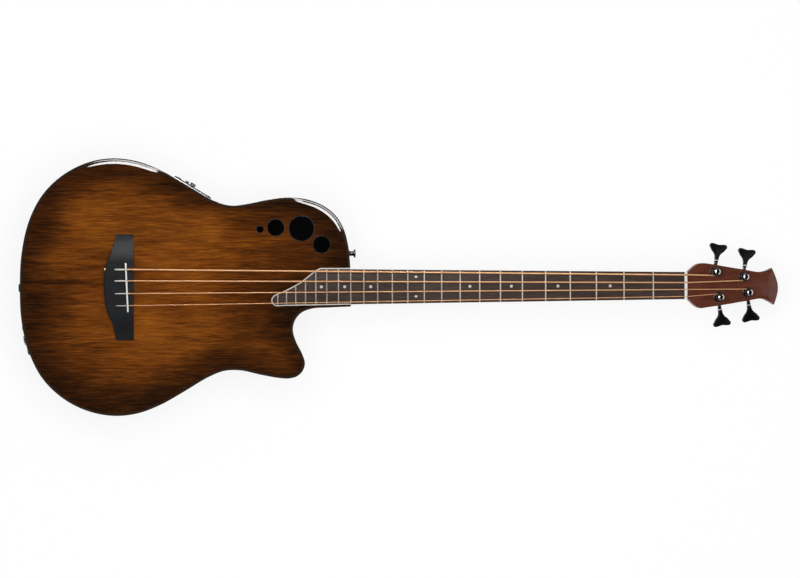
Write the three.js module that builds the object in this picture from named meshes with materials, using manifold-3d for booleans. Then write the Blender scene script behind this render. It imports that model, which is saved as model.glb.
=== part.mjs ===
// An acoustic bass guitar with a rounded composite back, lying on its back.
// Millimetres. X runs from the tail to the head, Y to the bass side and Z out of the top.
// Pieces are placed from the neck joint, where X = 0. The outer group then moves the origin
// to the middle of the flat that the back rests on.

import * as THREE from 'three';
import { mergeVertices } from 'three/addons/utils/BufferGeometryUtils.js';
import Module from 'manifold-3d';

const wasm = await Module();
wasm.setup();

// Fits
const SEAT_GAP = 0.3; // between two faces that are glued or screwed together
const RUN_GAP = 0.4; // round a shaft, stem or post that moves
const OVERRUN = 6; // how far a cutter passes the face it cuts
const ROUND_SIDES = 18;
const TUNER_SIDES = 14;
const SMALL_SIDES = 12;

// Scale and frets
const SCALE_LENGTH = 863.6;
const FRETS_PER_OCTAVE = 12;
const JOINT_FRET = 16;
const FRET_COUNT = 23;
const FRET_WIDTH = 2.6;
const FRET_HEIGHT = 1.2;
const FRET_INSET = 0.5;
const FRET_LEG_WIDTH = 4;
const FRET_LEG_THICKNESS = 1;
const FRET_RAIL_HEIGHT = 1.2;
const FRET_RAIL_OFFSET = 16;
const FRET_ARCH_STEPS = 4;
const FRET_SHOULDER_SHARE = 0.6;

// Body
const BODY_LENGTH = 517;
const BODY_WIDTH = 402;
const BOWL_DEPTH = 118;
const BOWL_WALL = 3;
const BOWL_FULLNESS = 2.2; // exponent of the bowl's curve, 2 is an ellipse
const LEDGE_WIDTH = 9;
const LEDGE_THICKNESS = 5;
const REST_LENGTH = 260;
const REST_WIDTH = 110;
const REST_TO_JOINT = 255;
const TOP_THICKNESS = 3;
const EDGE_WIDTH = 4;
const EDGE_ROLL = 2.2;
const BOWL_STEPS = 6;
const LINING_STEPS = 4;
const OUTLINE_STEPS_PER_POINT = 2;

// Outline of the top, as shares of BODY_LENGTH and of half BODY_WIDTH, from the corner where
// the treble side meets the neck, round the bass side, the tail and the cutaway.
const bodyOutlineShares = [
  [0, -0.154], [0, 0], [-0.002, 0.184], [-0.008, 0.328], [-0.0205, 0.448], [-0.0426, 0.547],
  [-0.0774, 0.624], [-0.1277, 0.678], [-0.1896, 0.696], [-0.2515, 0.678], [-0.3095, 0.648],
  [-0.3588, 0.635], [-0.4072, 0.667], [-0.4913, 0.79], [-0.5764, 0.9154], [-0.648, 0.984],
  [-0.7215, 1.005], [-0.793, 0.974], [-0.8665, 0.8806], [-0.9284, 0.7313], [-0.971, 0.527],
  [-0.9942, 0.2736], [-1, 0], [-0.9952, -0.2587], [-0.9729, -0.5025], [-0.9323, -0.7065],
  [-0.8704, -0.8607], [-0.7988, -0.9562], [-0.7215, -0.9965], [-0.648, -0.98], [-0.5764, -0.913],
  [-0.5039, -0.809], [-0.4313, -0.6985], [-0.383, -0.6507], [-0.3346, -0.6468], [-0.2708, -0.6826],
  [-0.2166, -0.7075], [-0.1876, -0.711], [-0.1634, -0.6945], [-0.146, -0.6517], [-0.1393, -0.592],
  [-0.1489, -0.5124], [-0.1663, -0.4229], [-0.1754, -0.3333], [-0.1692, -0.2612],
  [-0.1499, -0.2015], [-0.1172, -0.1687], [-0.0677, -0.1607], [0, -0.154],
];

// Sound holes: shares of BODY_LENGTH, of half BODY_WIDTH and of the largest radius
const SOUND_HOLE_RADIUS = 20.5;
const SOUND_HOLE_RING = 0.8;
const soundHoleShares = [
  [-0.2737, 0.4488, 0.307],
  [-0.2259, 0.4627, 0.683],
  [-0.148, 0.4547, 1],
  [-0.0878, 0.3294, 0.698],
];

// Braces under the top, and the block and plate that carry the loads
const BRACE_WIDTH = 8;
const BRACE_HEIGHT = 12;
const BRACE_ACROSS_SHARE = -0.3211; // its place, of BODY_LENGTH
const BRACE_SPAN_SHARE = 0.5323; // of BODY_WIDTH
const BRACE_FAN_END_SHARE = -0.9091; // of BODY_LENGTH
const BRACE_FAN_COUNT = 5;
const BRACE_FAN_SPACING_SHARE = 0.0746; // of BODY_WIDTH
const BRACE_FAN_SPREAD_SHARE = 1.6; // how much further apart the fan is at its tail end
const PLATE_LENGTH = 44;
const PLATE_WIDTH = 150;
const PLATE_THICKNESS = 3;
const BLOCK_LENGTH = 42;
const BLOCK_WIDTH = 70;
const BLOCK_HEIGHT = 62;

// Neck
const BOARD_JOINT_WIDTH = 54.8;
const BOARD_NUT_WIDTH = 42.4;
const BOARD_THICKNESS = 6.4;
const BOARD_RADIUS = 305;
const NECK_DEPTH_JOINT = 21;
const NECK_DEPTH_NUT = 18;
const NECK_FULLNESS = 2.3;
const NECK_SECTION_STEPS = 12;
const HEEL_LENGTH = 82;
const HEEL_DROP = 44;
const HEEL_FOOT_SHARE = 0.62; // how much of its width the heel keeps at its foot
const HEEL_REACH = 14;
const HEEL_STEPS = 6;
const NECK_STEPS = 6;
const TRUSS_ROD_RADIUS = 3;
const TRUSS_ROD_END_GAP = 14;
const NECK_BOLT_RADIUS = 3;
const NECK_BOLT_HEAD_RADIUS = 6;
const NECK_BOLT_HEAD_HEIGHT = 4;
const NECK_BOLT_LENGTH = 62;
const NECK_BOLT_DEPTH = 20; // below the top, for the upper bolt
const NECK_BOLT_SPACING = 24;

// Fretboard over the body, as shares of its length and of half its width
const EXTENSION_LENGTH = 124;
const EXTENSION_WIDTH = 58.8;
const BORDER_WIDTH = 2;
const extensionShares = [
  [0, 1], [-0.384, 1], [-0.437, 0.888], [-0.573, 0.449], [-0.63, 0.262], [-0.815, -0.16],
  [-0.918, -0.344], [-0.971, -0.459], [-1, -0.66], [-0.995, -0.816], [-0.971, -0.96],
  [-0.938, -1.01], [-0.815, -1], [0, -0.946],
];

// Nut and head
const NUT_WIDTH = 43;
const NUT_LENGTH = 4.5;
const NUT_LAND = 1.5;
const HEAD_TILT = THREE.MathUtils.degToRad(14);
const HEAD_LENGTH = 146; // along its own face
const HEAD_WIDTH = 71;
const HEAD_THICKNESS = 14;
const HEAD_ROOT_REACH = 24;
const headOutlineShares = [
  [0, 0.61], [0.05, 0.8], [0.1, 0.94], [0.16, 0.985], [0.24, 0.955], [0.42, 0.83], [0.63, 0.69],
  [0.79, 0.59], [0.87, 0.65], [0.93, 0.76], [0.965, 0.45], [0.995, 0.1], [1, -0.2], [0.985, -0.5],
  [0.955, -0.855], [0.89, -0.7], [0.82, -0.59], [0.63, -0.7], [0.42, -0.84], [0.19, -0.975],
  [0.14, -1], [0.09, -0.93], [0.04, -0.76], [0, -0.59],
];

// Bridge, saddle and pickup
const SADDLE_COMPENSATION = 7; // how far the saddle lies past the scale length
const BRIDGE_FRONT = 10.6;
const BRIDGE_BACK = 35.3;
const BRIDGE_WIDTH = 166.4;
const BRIDGE_HEIGHT = 7.5;
const BRIDGE_BEVEL = 1.5;
const bridgeBackShares = [
  [0.456, 1], [0.504, 0.86], [0.569, 0.738], [0.7, 0.595], [0.822, 0.451], [0.929, 0.308],
  [0.986, 0.13], [1, -0.05], [0.975, -0.214], [0.907, -0.375], [0.782, -0.538], [0.632, -0.7],
  [0.55, -0.844], [0.456, -0.96],
];
const SADDLE_LENGTH = 76.7;
const SADDLE_THICKNESS = 3.1;
const SADDLE_SLANT = THREE.MathUtils.degToRad(2.5);
const SADDLE_SLOT_FLOOR = 2.4;
const SADDLE_ARCH_STEPS = 8;
const PICKUP_HEIGHT = 1.4;
const PICKUP_THICKNESS = 2.2;
const BALL_RADIUS = 2.5;
const BALL_LENGTH = 4;
const BALL_BEHIND_SADDLE = 34;
const STRING_BEND_BEHIND_SADDLE = 26;
const STRING_HOLE_HEIGHT = 3.9;

// Strings, from the bass side. A string's shares are its radius, of STRING_RADIUS, and its
// places on the saddle, of half SADDLE_LENGTH, and on the nut, of half NUT_WIDTH.
// Its post's are along the head's face, of HEAD_LENGTH, and across, of half HEAD_WIDTH.
const STRING_RADIUS = 1.25; // the thickest
const STRING_SADDLE_HEIGHT = 11.6; // underside of a string over the top at the centre line
const STRING_NUT_CLEAR = 1.7; // underside of a string over the board at the nut
const STRING_SIDES = 6;
const WRAP_STEPS = 24;
const WRAP_GAP = 0.5;
const stringShares = {
  E: { radius: 1, saddle: 0.738, nut: 0.7767, along: 0.2955, across: 0.6028, turnCount: 2.4 },
  A: { radius: 0.8, saddle: 0.2738, nut: 0.2186, along: 0.6117, across: 0.3746, turnCount: 2.5 },
  D: { radius: 0.64, saddle: -0.2451, nut: -0.2837, along: 0.6541, across: -0.3127, turnCount: 2.6 },
  G: { radius: 0.48, saddle: -0.738, nut: -0.7907, along: 0.3329, across: -0.5127, turnCount: 2.7 },
};

// Tuners, in the frame of the head's face, round each post
const POST_RADIUS = 4.2;
const POST_HEIGHT = 18;
const POST_CAP_RADIUS = 4.9;
const POST_CAP_HEIGHT = 2;
const POST_SLOT_WIDTH = 2.9;
const POST_SLOT_DEPTH = 4;
const WRAP_START_HEIGHT = 5.2;
const GEAR_RADIUS = 8;
const GEAR_THICKNESS = 3;
const GEAR_DROP = 1;
const BUSHING_SLEEVE_RADIUS = 6.2;
const BUSHING_FLANGE_RADIUS = 7.8;
const BUSHING_FLANGE_HEIGHT = 1.8;
const HOUSING_LENGTH = 20;
const HOUSING_DEPTH = 13;
const HOUSING_WALL = 1.6;
const BARREL_RADIUS = 3.3;
const COLLAR_RADIUS = 3.4;
const COLLAR_LENGTH = 1.2;
const COLLAR_REACH = 18.2;
const KEY_LEAN_BASS = THREE.MathUtils.degToRad(9);
const KEY_LEAN_TREBLE = THREE.MathUtils.degToRad(8.5);
const KEY_OFFSET = 5.4;
const KEY_AXIS_DEPTH = 7.8;
const KEY_SHAFT_RADIUS = 2.2;
const WORM_RADIUS = 2.6;
const WORM_LENGTH = 11;
const KEY_REACH = 44.5;
const KEY_WIDTH = 29.3;
const KEY_LOBE_RADIUS = 4;
const KEY_NECK_RADIUS = 3.3;
const KEY_NECK_LENGTH = 6;
const KEY_THICKNESS = 6.4;
const KEY_DIP = 1.2;
const KEY_FLANK_SHARE = 0.75; // where a flank meets its lobe, of the lobe's place
const KEY_BEVEL_SHARE = 0.25; // of KEY_THICKNESS
const KEY_BEVEL_SPREAD_SHARE = 0.6; // a bevel's width, of its depth

// Strap buttons
const BUTTON_FLANGE_RADIUS = 6.8;
const BUTTON_FLANGE_THICKNESS = 3;
const BUTTON_WAIST_RADIUS = 3.6;
const BUTTON_LENGTH = 12.4;
const BUTTON_SCREW_RADIUS = 2;
const BUTTON_SCREW_LENGTH = 14;
const SHOULDER_BUTTON_Y = 52;
const SHOULDER_BUTTON_DEPTH = 30;
const END_BUTTON_DEPTH = 52;

// Output jack in the tail's treble side
const JACK_ALONG_SHARE = -0.98066; // its place on the outline, of BODY_LENGTH
const JACK_ACROSS_SHARE = -0.40547; // and of half BODY_WIDTH
const JACK_SLOPE_SHARE = 0.08833; // the outline's slope there, in shares
const JACK_PLATE_PROUD = 2.6;
const JACK_PLATE_LENGTH = 47;
const JACK_PLATE_HEIGHT = 30;
const JACK_PLATE_BLOCK = 16;
const JACK_DEPTH = 36;
const JACK_BARREL_RADIUS = 5;
const JACK_SOCKET_RADIUS = 3.3;
const JACK_LENGTH = 34;
const JACK_END_WALL = 3;
const JACK_NUT_RADIUS = 7.5;
const JACK_NUT_THICKNESS = 2.2;

// Preamp in the bass side near the waist
const PREAMP_ALONG_SHARE = -0.47582; // its place beside the outline, of BODY_LENGTH
const PREAMP_ACROSS_SHARE = 0.78308; // and of half BODY_WIDTH
const PREAMP_SLOPE_SHARE = 1.5886; // the outline's slope there, in shares
const PREAMP_LENGTH = 66;
const PREAMP_HEIGHT = 40;
const PREAMP_BLOCK = 18;
const PREAMP_PLATE = 2.5;
const PREAMP_SKIRT = 2.5;
const PREAMP_TOP_MARGIN = 7;
const CHASSIS_LENGTH = 57;
const CHASSIS_HEIGHT = 31;
const CHASSIS_DEPTH = 44;
const CHASSIS_WALL = 1.5;
const BATTERY_LENGTH = 48;
const BATTERY_HEIGHT = 26;
const BATTERY_DEPTH = 17;
const KNOB_RADIUS = 4.4;
const KNOB_PROUD = 4.7;
const KNOB_TAPER_SHARE = 0.9; // its top's radius, of KNOB_RADIUS
const KNOB_ALONG = -1.6; // along the panel from its middle, toward the head
const KNOB_UP = 12; // above the panel's middle
const STEM_RADIUS = 1.6;
const STEM_LENGTH = 7;
const SLIDER_ALONG = -11.5;
const SLIDER_CAP_LENGTH = 5;
const SLIDER_CAP_HEIGHT = 4;
const SLIDER_PROUD = 2.3;
const SLIDER_STEM = 1.6;
const SLIDER_TRAVEL = 6; // each way
const SLIDER_SPACING = 8.5;
const SLIDER_COUNT = 3;
const SLIDERS_DOWN = 4; // how far the middle slider lies below the panel's middle
const BUTTON_ALONG = -25;
const BUTTON_CAP_RADIUS = 3.4;
const BUTTON_PROUD = 1.4;
const BUTTON_TRAVEL = 0.8;
const DISPLAY_ALONG = 18;
const DISPLAY_LENGTH = 20;
const DISPLAY_HEIGHT = 14;
const DISPLAY_THICKNESS = 1.4;

// Leads inside the body: the points on their way, chosen by hand, are shares of BODY_LENGTH,
// of half BODY_WIDTH and of BOWL_DEPTH.
const LEAD_RADIUS = 1.5;
const LEAD_SIDES = 8;
const pickupLeadShares = [[-0.638, -0.1, 0.746], [-0.58, 0.149, 0.661], [-0.551, 0.348, 0.678]];
const outputLeadShares = [
  [-0.88, -0.338, 0.695], [-0.812, -0.1, 0.61], [-0.716, 0.249, 0.576], [-0.619, 0.448, 0.661],
];

// Worked out from the sizes above
const half = (size) => size / 2;
const HALF_BODY = half(BODY_WIDTH);
const TOP_Z = BOWL_DEPTH + SEAT_GAP + TOP_THICKNESS;
const BOARD_FLOOR_Z = TOP_Z + SEAT_GAP;
const BOARD_TOP_Z = BOARD_FLOOR_Z + BOARD_THICKNESS;
const BRIDGE_FLOOR_Z = TOP_Z + SEAT_GAP;
const UNDER_TOP_Z = BOWL_DEPTH; // underside of the top, less its seat gap
const fretDistance = (fret) => SCALE_LENGTH * (1 - 2 ** (-fret / FRETS_PER_OCTAVE));
const NUT_X = fretDistance(JOINT_FRET);
const NUT_END_X = NUT_X + SEAT_GAP + NUT_LENGTH;
const BRIDGE_X = NUT_X - SCALE_LENGTH - SADDLE_COMPENSATION; // middle of the saddle
const HEAD_X = NUT_END_X + NUT_LAND;
const HEAD_FRAME = new THREE.Matrix4().makeRotationY(HEAD_TILT).setPosition(HEAD_X, 0, TOP_Z);
const strings = Object.entries(stringShares).map(([name, shares]) => ({
  name,
  radius: shares.radius * STRING_RADIUS,
  saddleY: shares.saddle * half(SADDLE_LENGTH),
  nutY: shares.nut * half(NUT_WIDTH),
  post: {
    x: shares.along * HEAD_LENGTH,
    y: shares.across * half(HEAD_WIDTH),
    side: Math.sign(shares.across),
    turnCount: shares.turnCount,
  },
}));

// Materials
const finish = (color, roughness, metalness) => (
  new THREE.MeshStandardMaterial({ color, roughness, metalness })
);
const materials = {
  shell: finish(0x151515, 0.35, 0),
  top: finish(0x8a4a16, 0.25, 0),
  edge: finish(0x120d0b, 0.25, 0),
  spruce: finish(0xd2b07a, 0.7, 0),
  neckWood: finish(0x6b2a18, 0.4, 0),
  boardWood: finish(0x3a2a23, 0.6, 0),
  bridgeWood: finish(0x141619, 0.5, 0),
  bone: finish(0xf2efe6, 0.4, 0),
  fretMetal: finish(0xc9c9c4, 0.25, 1),
  steel: finish(0xb9bcc0, 0.35, 1),
  bronze: finish(0xc98d5a, 0.35, 1),
  blackMetal: finish(0x0e0e10, 0.3, 1),
  blackPlastic: finish(0x101012, 0.4, 0),
  display: finish(0x0a1218, 0.1, 0),
  rubber: finish(0x161616, 0.8, 0),
};

// Tools for making solids

function triangleFaces(ring) {
  const normal = new THREE.Vector3();
  ring.forEach((point, index) => {
    const next = ring[(index + 1) % ring.length];
    normal.x += (point.y - next.y) * (point.z + next.z);
    normal.y += (point.z - next.z) * (point.x + next.x);
    normal.z += (point.x - next.x) * (point.y + next.y);
  });
  normal.normalize();
  const turn = new THREE.Quaternion().setFromUnitVectors(normal, new THREE.Vector3(0, 0, 1));
  const flat = ring.map((point) => point.clone().applyQuaternion(turn));
  const contour = flat.map((point) => new THREE.Vector2(point.x, point.y));
  return THREE.ShapeUtils.triangulateShape(contour, []).map(([a, b, c]) => {
    const cross = (contour[b].x - contour[a].x) * (contour[c].y - contour[a].y)
      - (contour[b].y - contour[a].y) * (contour[c].x - contour[a].x);
    return cross > 0 ? [a, b, c] : [a, c, b];
  });
}

function loft(rings, closed = false) {
  const count = rings[0].length;
  const positions = rings.flat().flatMap((point) => [point.x, point.y, point.z]);
  const index = [];
  const spans = closed ? rings.length : rings.length - 1;
  for (let row = 0; row < spans; row += 1) {
    const here = row * count;
    const there = ((row + 1) % rings.length) * count;
    for (let column = 0; column < count; column += 1) {
      const next = (column + 1) % count;
      index.push(here + column, here + next, there + next);
      index.push(here + column, there + next, there + column);
    }
  }
  if (!closed) {
    const last = (rings.length - 1) * count;
    triangleFaces(rings[0]).forEach(([a, b, c]) => index.push(a, c, b));
    triangleFaces(rings[rings.length - 1]).forEach(([a, b, c]) => (
      index.push(last + a, last + b, last + c)
    ));
  }
  const geometry = new THREE.BufferGeometry();
  geometry.setAttribute('position', new THREE.Float32BufferAttribute(positions, 3));
  geometry.setIndex(index);
  return geometry;
}

function toSolid(geometry) {
  const bare = new THREE.BufferGeometry();
  bare.setAttribute('position', geometry.getAttribute('position'));
  bare.setIndex(geometry.index);
  const merged = mergeVertices(bare);
  return new wasm.Manifold(new wasm.Mesh({
    numProp: 3,
    vertProperties: new Float32Array(merged.getAttribute('position').array),
    triVerts: new Uint32Array(merged.index.array),
  }));
}

function fromSolid(solid) {
  const mesh = solid.getMesh();
  const geometry = new THREE.BufferGeometry();
  geometry.setAttribute('position', new THREE.BufferAttribute(mesh.vertProperties, 3));
  geometry.setIndex(new THREE.BufferAttribute(mesh.triVerts, 1));
  return geometry;
}

const combine = (first, others, how) => fromSolid(
  others.reduce((solid, other) => solid[how](toSolid(other)), toSolid(first)),
);
const join = (first, ...others) => combine(first, others, 'add');
const cut = (first, ...others) => combine(first, others, 'subtract');
const common = (first, ...others) => combine(first, others, 'intersect');

function box(x, y, z) {
  const geometry = new THREE.BoxGeometry(x[1] - x[0], y[1] - y[0], z[1] - z[0]);
  return geometry.translate(half(x[0] + x[1]), half(y[0] + y[1]), half(z[0] + z[1]));
}

const around = (middle, size) => [middle - half(size), middle + half(size)];

function prism(points, floor, ceiling) {
  const shape = new THREE.Shape(points.map((point) => new THREE.Vector2(point.x, point.y)));
  const geometry = new THREE.ExtrudeGeometry(shape, { depth: ceiling - floor, bevelEnabled: false });
  return geometry.translate(0, 0, floor);
}

// A solid of revolution round Z: the profile's points are [radius, height].
function turned(profile, sides = ROUND_SIDES) {
  const points = profile.map(([radius, height]) => new THREE.Vector2(radius, height));
  return new THREE.LatheGeometry(points, sides).rotateX(half(Math.PI));
}

const rod = (radius, floor, ceiling, sides = ROUND_SIDES) => turned(
  [[0, floor], [radius, floor], [radius, ceiling], [0, ceiling]],
  sides,
);
const alongX = (geometry) => geometry.rotateY(half(Math.PI));
const alongY = (geometry) => geometry.rotateX(-half(Math.PI));

// A tube of one or more radii along a row of points, with flat ends
function sweep(path, radii, sides) {
  const start = path[1].clone().sub(path[0]);
  const upright = Math.abs(start.z) > Math.abs(start.x);
  const normal = upright ? new THREE.Vector3(1, 0, 0) : new THREE.Vector3(0, 0, 1);
  const rings = path.map((point, index) => {
    const ahead = path[Math.min(index + 1, path.length - 1)];
    const behind = path[Math.max(index - 1, 0)];
    const tangent = ahead.clone().sub(behind).normalize();
    normal.addScaledVector(tangent, -normal.dot(tangent)).normalize();
    const binormal = tangent.clone().cross(normal);
    return Array.from({ length: sides }, (_, side) => {
      const angle = side / sides * 2 * Math.PI;
      return point.clone()
        .addScaledVector(normal, Math.cos(angle) * radii[index])
        .addScaledVector(binormal, Math.sin(angle) * radii[index]);
    });
  });
  return loft(rings);
}

// A closed outline moved inward by a distance. The outline runs counter-clockwise.
function inset(outline, distance) {
  return outline.map((point, index) => {
    const before = outline[(index + outline.length - 1) % outline.length];
    const after = outline[(index + 1) % outline.length];
    const arriving = point.clone().sub(before).normalize();
    const leaving = after.clone().sub(point).normalize();
    const across = new THREE.Vector2(-arriving.y - leaving.y, arriving.x + leaving.x).normalize();
    const lean = across.x * -arriving.y + across.y * arriving.x;
    return point.clone().addScaledVector(across, distance / lean);
  });
}

// Body outline

const bodyOutline = new THREE.CatmullRomCurve3(
  bodyOutlineShares.map(([x, y]) => new THREE.Vector3(x * BODY_LENGTH, y * HALF_BODY, 0)),
  false,
  'centripetal',
)
  .getPoints((bodyOutlineShares.length - 1) * OUTLINE_STEPS_PER_POINT)
  .slice(0, -1)
  .map((point) => new THREE.Vector2(point.x, point.y));

// The bowl's surface at a height, a share of its depth: it widens from the ellipse that it
// rests on to the outline of the top.
function bowlRing(share, margin, floor, ceiling) {
  const spread = (1 - (1 - share) ** BOWL_FULLNESS) ** (1 / BOWL_FULLNESS);
  const length = half(REST_LENGTH) - margin;
  const width = half(REST_WIDTH) - margin;
  return inset(bodyOutline, margin).map((point) => {
    const angle = Math.atan2(point.y / width, (point.x + REST_TO_JOINT) / length);
    const foot = new THREE.Vector2(
      length * Math.cos(angle) - REST_TO_JOINT,
      width * Math.sin(angle),
    );
    foot.lerp(point, spread);
    return new THREE.Vector3(foot.x, foot.y, floor + share * (ceiling - floor));
  });
}

const heightShares = (steps, last) => Array.from({ length: steps + 1 }, (_, step) => (
  last * (1 - Math.cos(half(Math.PI) * step / steps) ** (2 / BOWL_FULLNESS))
));

const flatRing = (margin, z) => inset(bodyOutline, margin)
  .map((point) => new THREE.Vector3(point.x, point.y, z));

// The whole bowl as a solid, grown or shrunk by a margin, and carried up past the top
function bowlForm(margin, ceiling) {
  const rings = heightShares(BOWL_STEPS, 1).map((share) => (
    bowlRing(share, margin, margin, BOWL_DEPTH)
  ));
  return loft([...rings, flatRing(margin, ceiling)]);
}

const outsideBowl = bowlForm(-SEAT_GAP, TOP_Z + OVERRUN);

// The bowl's lining, from its floor up to the inner edge of its ledge, with room beside it
function liningRings(room) {
  const margin = BOWL_WALL + room;
  const last = 1 - (LEDGE_THICKNESS + LEDGE_WIDTH) / (BOWL_DEPTH - BOWL_WALL);
  return [
    ...heightShares(LINING_STEPS, last).map((share) => bowlRing(share, margin, margin, BOWL_DEPTH)),
    flatRing(LEDGE_WIDTH + room, BOWL_DEPTH - LEDGE_THICKNESS - room),
    flatRing(LEDGE_WIDTH + room, BOWL_DEPTH),
  ];
}

const insideBowl = loft(liningRings(SEAT_GAP));

// Where the bowl's outside lies, at a depth below the top and on a line across it
function bowlFaceX(depth, y, side) {
  const share = 1 - (depth - (TOP_Z - BOWL_DEPTH)) / BOWL_DEPTH;
  const ring = bowlRing(share, 0, 0, BOWL_DEPTH);
  const crossings = ring.flatMap((point, index) => {
    const next = ring[(index + 1) % ring.length];
    const crosses = (point.y - y) * (next.y - y) < 0;
    return crosses ? [point.x + (next.x - point.x) * (y - point.y) / (next.y - point.y)] : [];
  });
  return side > 0 ? Math.max(...crossings) : Math.min(...crossings);
}

// Frames of the pieces in the bowl's side: X along the side, Y up and Z out of the body

const sideFrame = (x, y, z, outward) => new THREE.Matrix4().makeBasis(
  new THREE.Vector3(-Math.sin(outward), Math.cos(outward), 0),
  new THREE.Vector3(0, 0, 1),
  new THREE.Vector3(Math.cos(outward), Math.sin(outward), 0),
).setPosition(x, y, z);

const PREAMP_Z = TOP_Z - PREAMP_TOP_MARGIN - half(PREAMP_HEIGHT);
const PREAMP_FRAME = sideFrame(
  PREAMP_ALONG_SHARE * BODY_LENGTH,
  PREAMP_ACROSS_SHARE * HALF_BODY,
  PREAMP_Z,
  Math.atan2(BODY_LENGTH, PREAMP_SLOPE_SHARE * HALF_BODY),
);
const JACK_OUTWARD = Math.PI + Math.atan2(JACK_SLOPE_SHARE * BODY_LENGTH, HALF_BODY);
const JACK_FRAME = sideFrame(
  JACK_ALONG_SHARE * BODY_LENGTH + Math.cos(JACK_OUTWARD) * JACK_PLATE_PROUD,
  JACK_ACROSS_SHARE * HALF_BODY + Math.sin(JACK_OUTWARD) * JACK_PLATE_PROUD,
  TOP_Z - JACK_DEPTH,
  JACK_OUTWARD,
);
const inFrame = (geometry, frame) => geometry.clone().applyMatrix4(frame);

// Strap buttons, each along X from the bowl's face

const strapButtons = {
  strap_button_shoulder: { y: SHOULDER_BUTTON_Y, depth: SHOULDER_BUTTON_DEPTH, side: 1 },
  strap_button_end: { y: 0, depth: END_BUTTON_DEPTH, side: -1 },
};

function strapButtonPlace({ y, depth, side }) {
  const face = bowlFaceX(depth, y, side);
  return new THREE.Matrix4().makeRotationY(side * half(Math.PI)).setPosition(face, y, TOP_Z - depth);
}

function makeStrapButton(place) {
  const neck = BUTTON_LENGTH - BUTTON_FLANGE_THICKNESS;
  const button = turned([
    [0, -BUTTON_SCREW_LENGTH], [BUTTON_SCREW_RADIUS, -BUTTON_SCREW_LENGTH],
    [BUTTON_SCREW_RADIUS, -BOWL_WALL], [BUTTON_WAIST_RADIUS, -BOWL_WALL],
    [BUTTON_WAIST_RADIUS, neck], [BUTTON_FLANGE_RADIUS, neck],
    [BUTTON_FLANGE_RADIUS, BUTTON_LENGTH], [0, BUTTON_LENGTH],
  ]);
  const screwHole = rod(
    BUTTON_SCREW_RADIUS + half(SEAT_GAP),
    -BUTTON_SCREW_LENGTH - OVERRUN,
    OVERRUN,
    SMALL_SIDES,
  );
  return cut(inFrame(button, place), cut(outsideBowl, inFrame(screwHole, place)));
}

function makeBowl() {
  const outside = heightShares(BOWL_STEPS, 1).reverse()
    .map((share) => bowlRing(share, 0, 0, BOWL_DEPTH));
  const clockwise = [...liningRings(0), ...outside].map((ring) => [...ring].reverse());
  const preampWindow = box(
    around(0, CHASSIS_LENGTH + SEAT_GAP * 2),
    around(0, CHASSIS_HEIGHT + SEAT_GAP * 2),
    [-CHASSIS_DEPTH, OVERRUN],
  );
  const jackHole = rod(JACK_BARREL_RADIUS + SEAT_GAP, -JACK_LENGTH - OVERRUN, OVERRUN);
  const screwHoles = Object.values(strapButtons).map((button) => inFrame(
    rod(BUTTON_SCREW_RADIUS + SEAT_GAP, -BUTTON_SCREW_LENGTH - OVERRUN, OVERRUN, SMALL_SIDES),
    strapButtonPlace(button),
  ));
  return cut(
    loft(clockwise),
    inFrame(preampWindow, PREAMP_FRAME),
    inFrame(jackHole, JACK_FRAME),
    ...screwHoles,
    ...neckBoltHoles(),
  );
}

// Top, its edge and its sound holes

const soundHoles = soundHoleShares.map(([x, y, radius]) => ({
  x: x * BODY_LENGTH,
  y: y * HALF_BODY,
  radius: radius * SOUND_HOLE_RADIUS,
}));

const LEAD_Y = LEAD_RADIUS * 3 - half(SADDLE_LENGTH); // where the pickup's lead leaves its slot

function makeTop() {
  const plate = prism(inset(bodyOutline, EDGE_WIDTH + SEAT_GAP), BOWL_DEPTH + SEAT_GAP, TOP_Z);
  const holes = soundHoles.map(({ x, y, radius }) => (
    rod(radius, BOWL_DEPTH - OVERRUN, TOP_Z + OVERRUN).translate(x, y, 0)
  ));
  return cut(plate, ...holes, leadHole());
}

function makeEdge() {
  const floor = BOWL_DEPTH + SEAT_GAP;
  const roll = 1 - Math.SQRT1_2;
  const section = [
    [EDGE_WIDTH, floor], [EDGE_WIDTH, TOP_Z], [EDGE_ROLL, TOP_Z],
    [EDGE_ROLL * roll, TOP_Z - EDGE_ROLL * roll], [0, TOP_Z - EDGE_ROLL], [0, floor],
  ];
  return loft(section.map(([margin, z]) => flatRing(margin, z).reverse()), true);
}

function makeSoundHoleRing({ x, y, radius }) {
  const outer = radius - SEAT_GAP;
  const inner = outer - SOUND_HOLE_RING;
  return turned([
    [inner, BOWL_DEPTH + SEAT_GAP], [outer, BOWL_DEPTH + SEAT_GAP],
    [outer, TOP_Z], [inner, TOP_Z], [inner, BOWL_DEPTH + SEAT_GAP],
  ]).translate(x, y, 0);
}

// Braces, bridge plate and neck block

const plateBox = (margin) => box(
  around(BRIDGE_X, PLATE_LENGTH + margin * 2),
  around(0, PLATE_WIDTH + margin * 2),
  [UNDER_TOP_Z - PLATE_THICKNESS - margin, UNDER_TOP_Z + margin],
);

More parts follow.
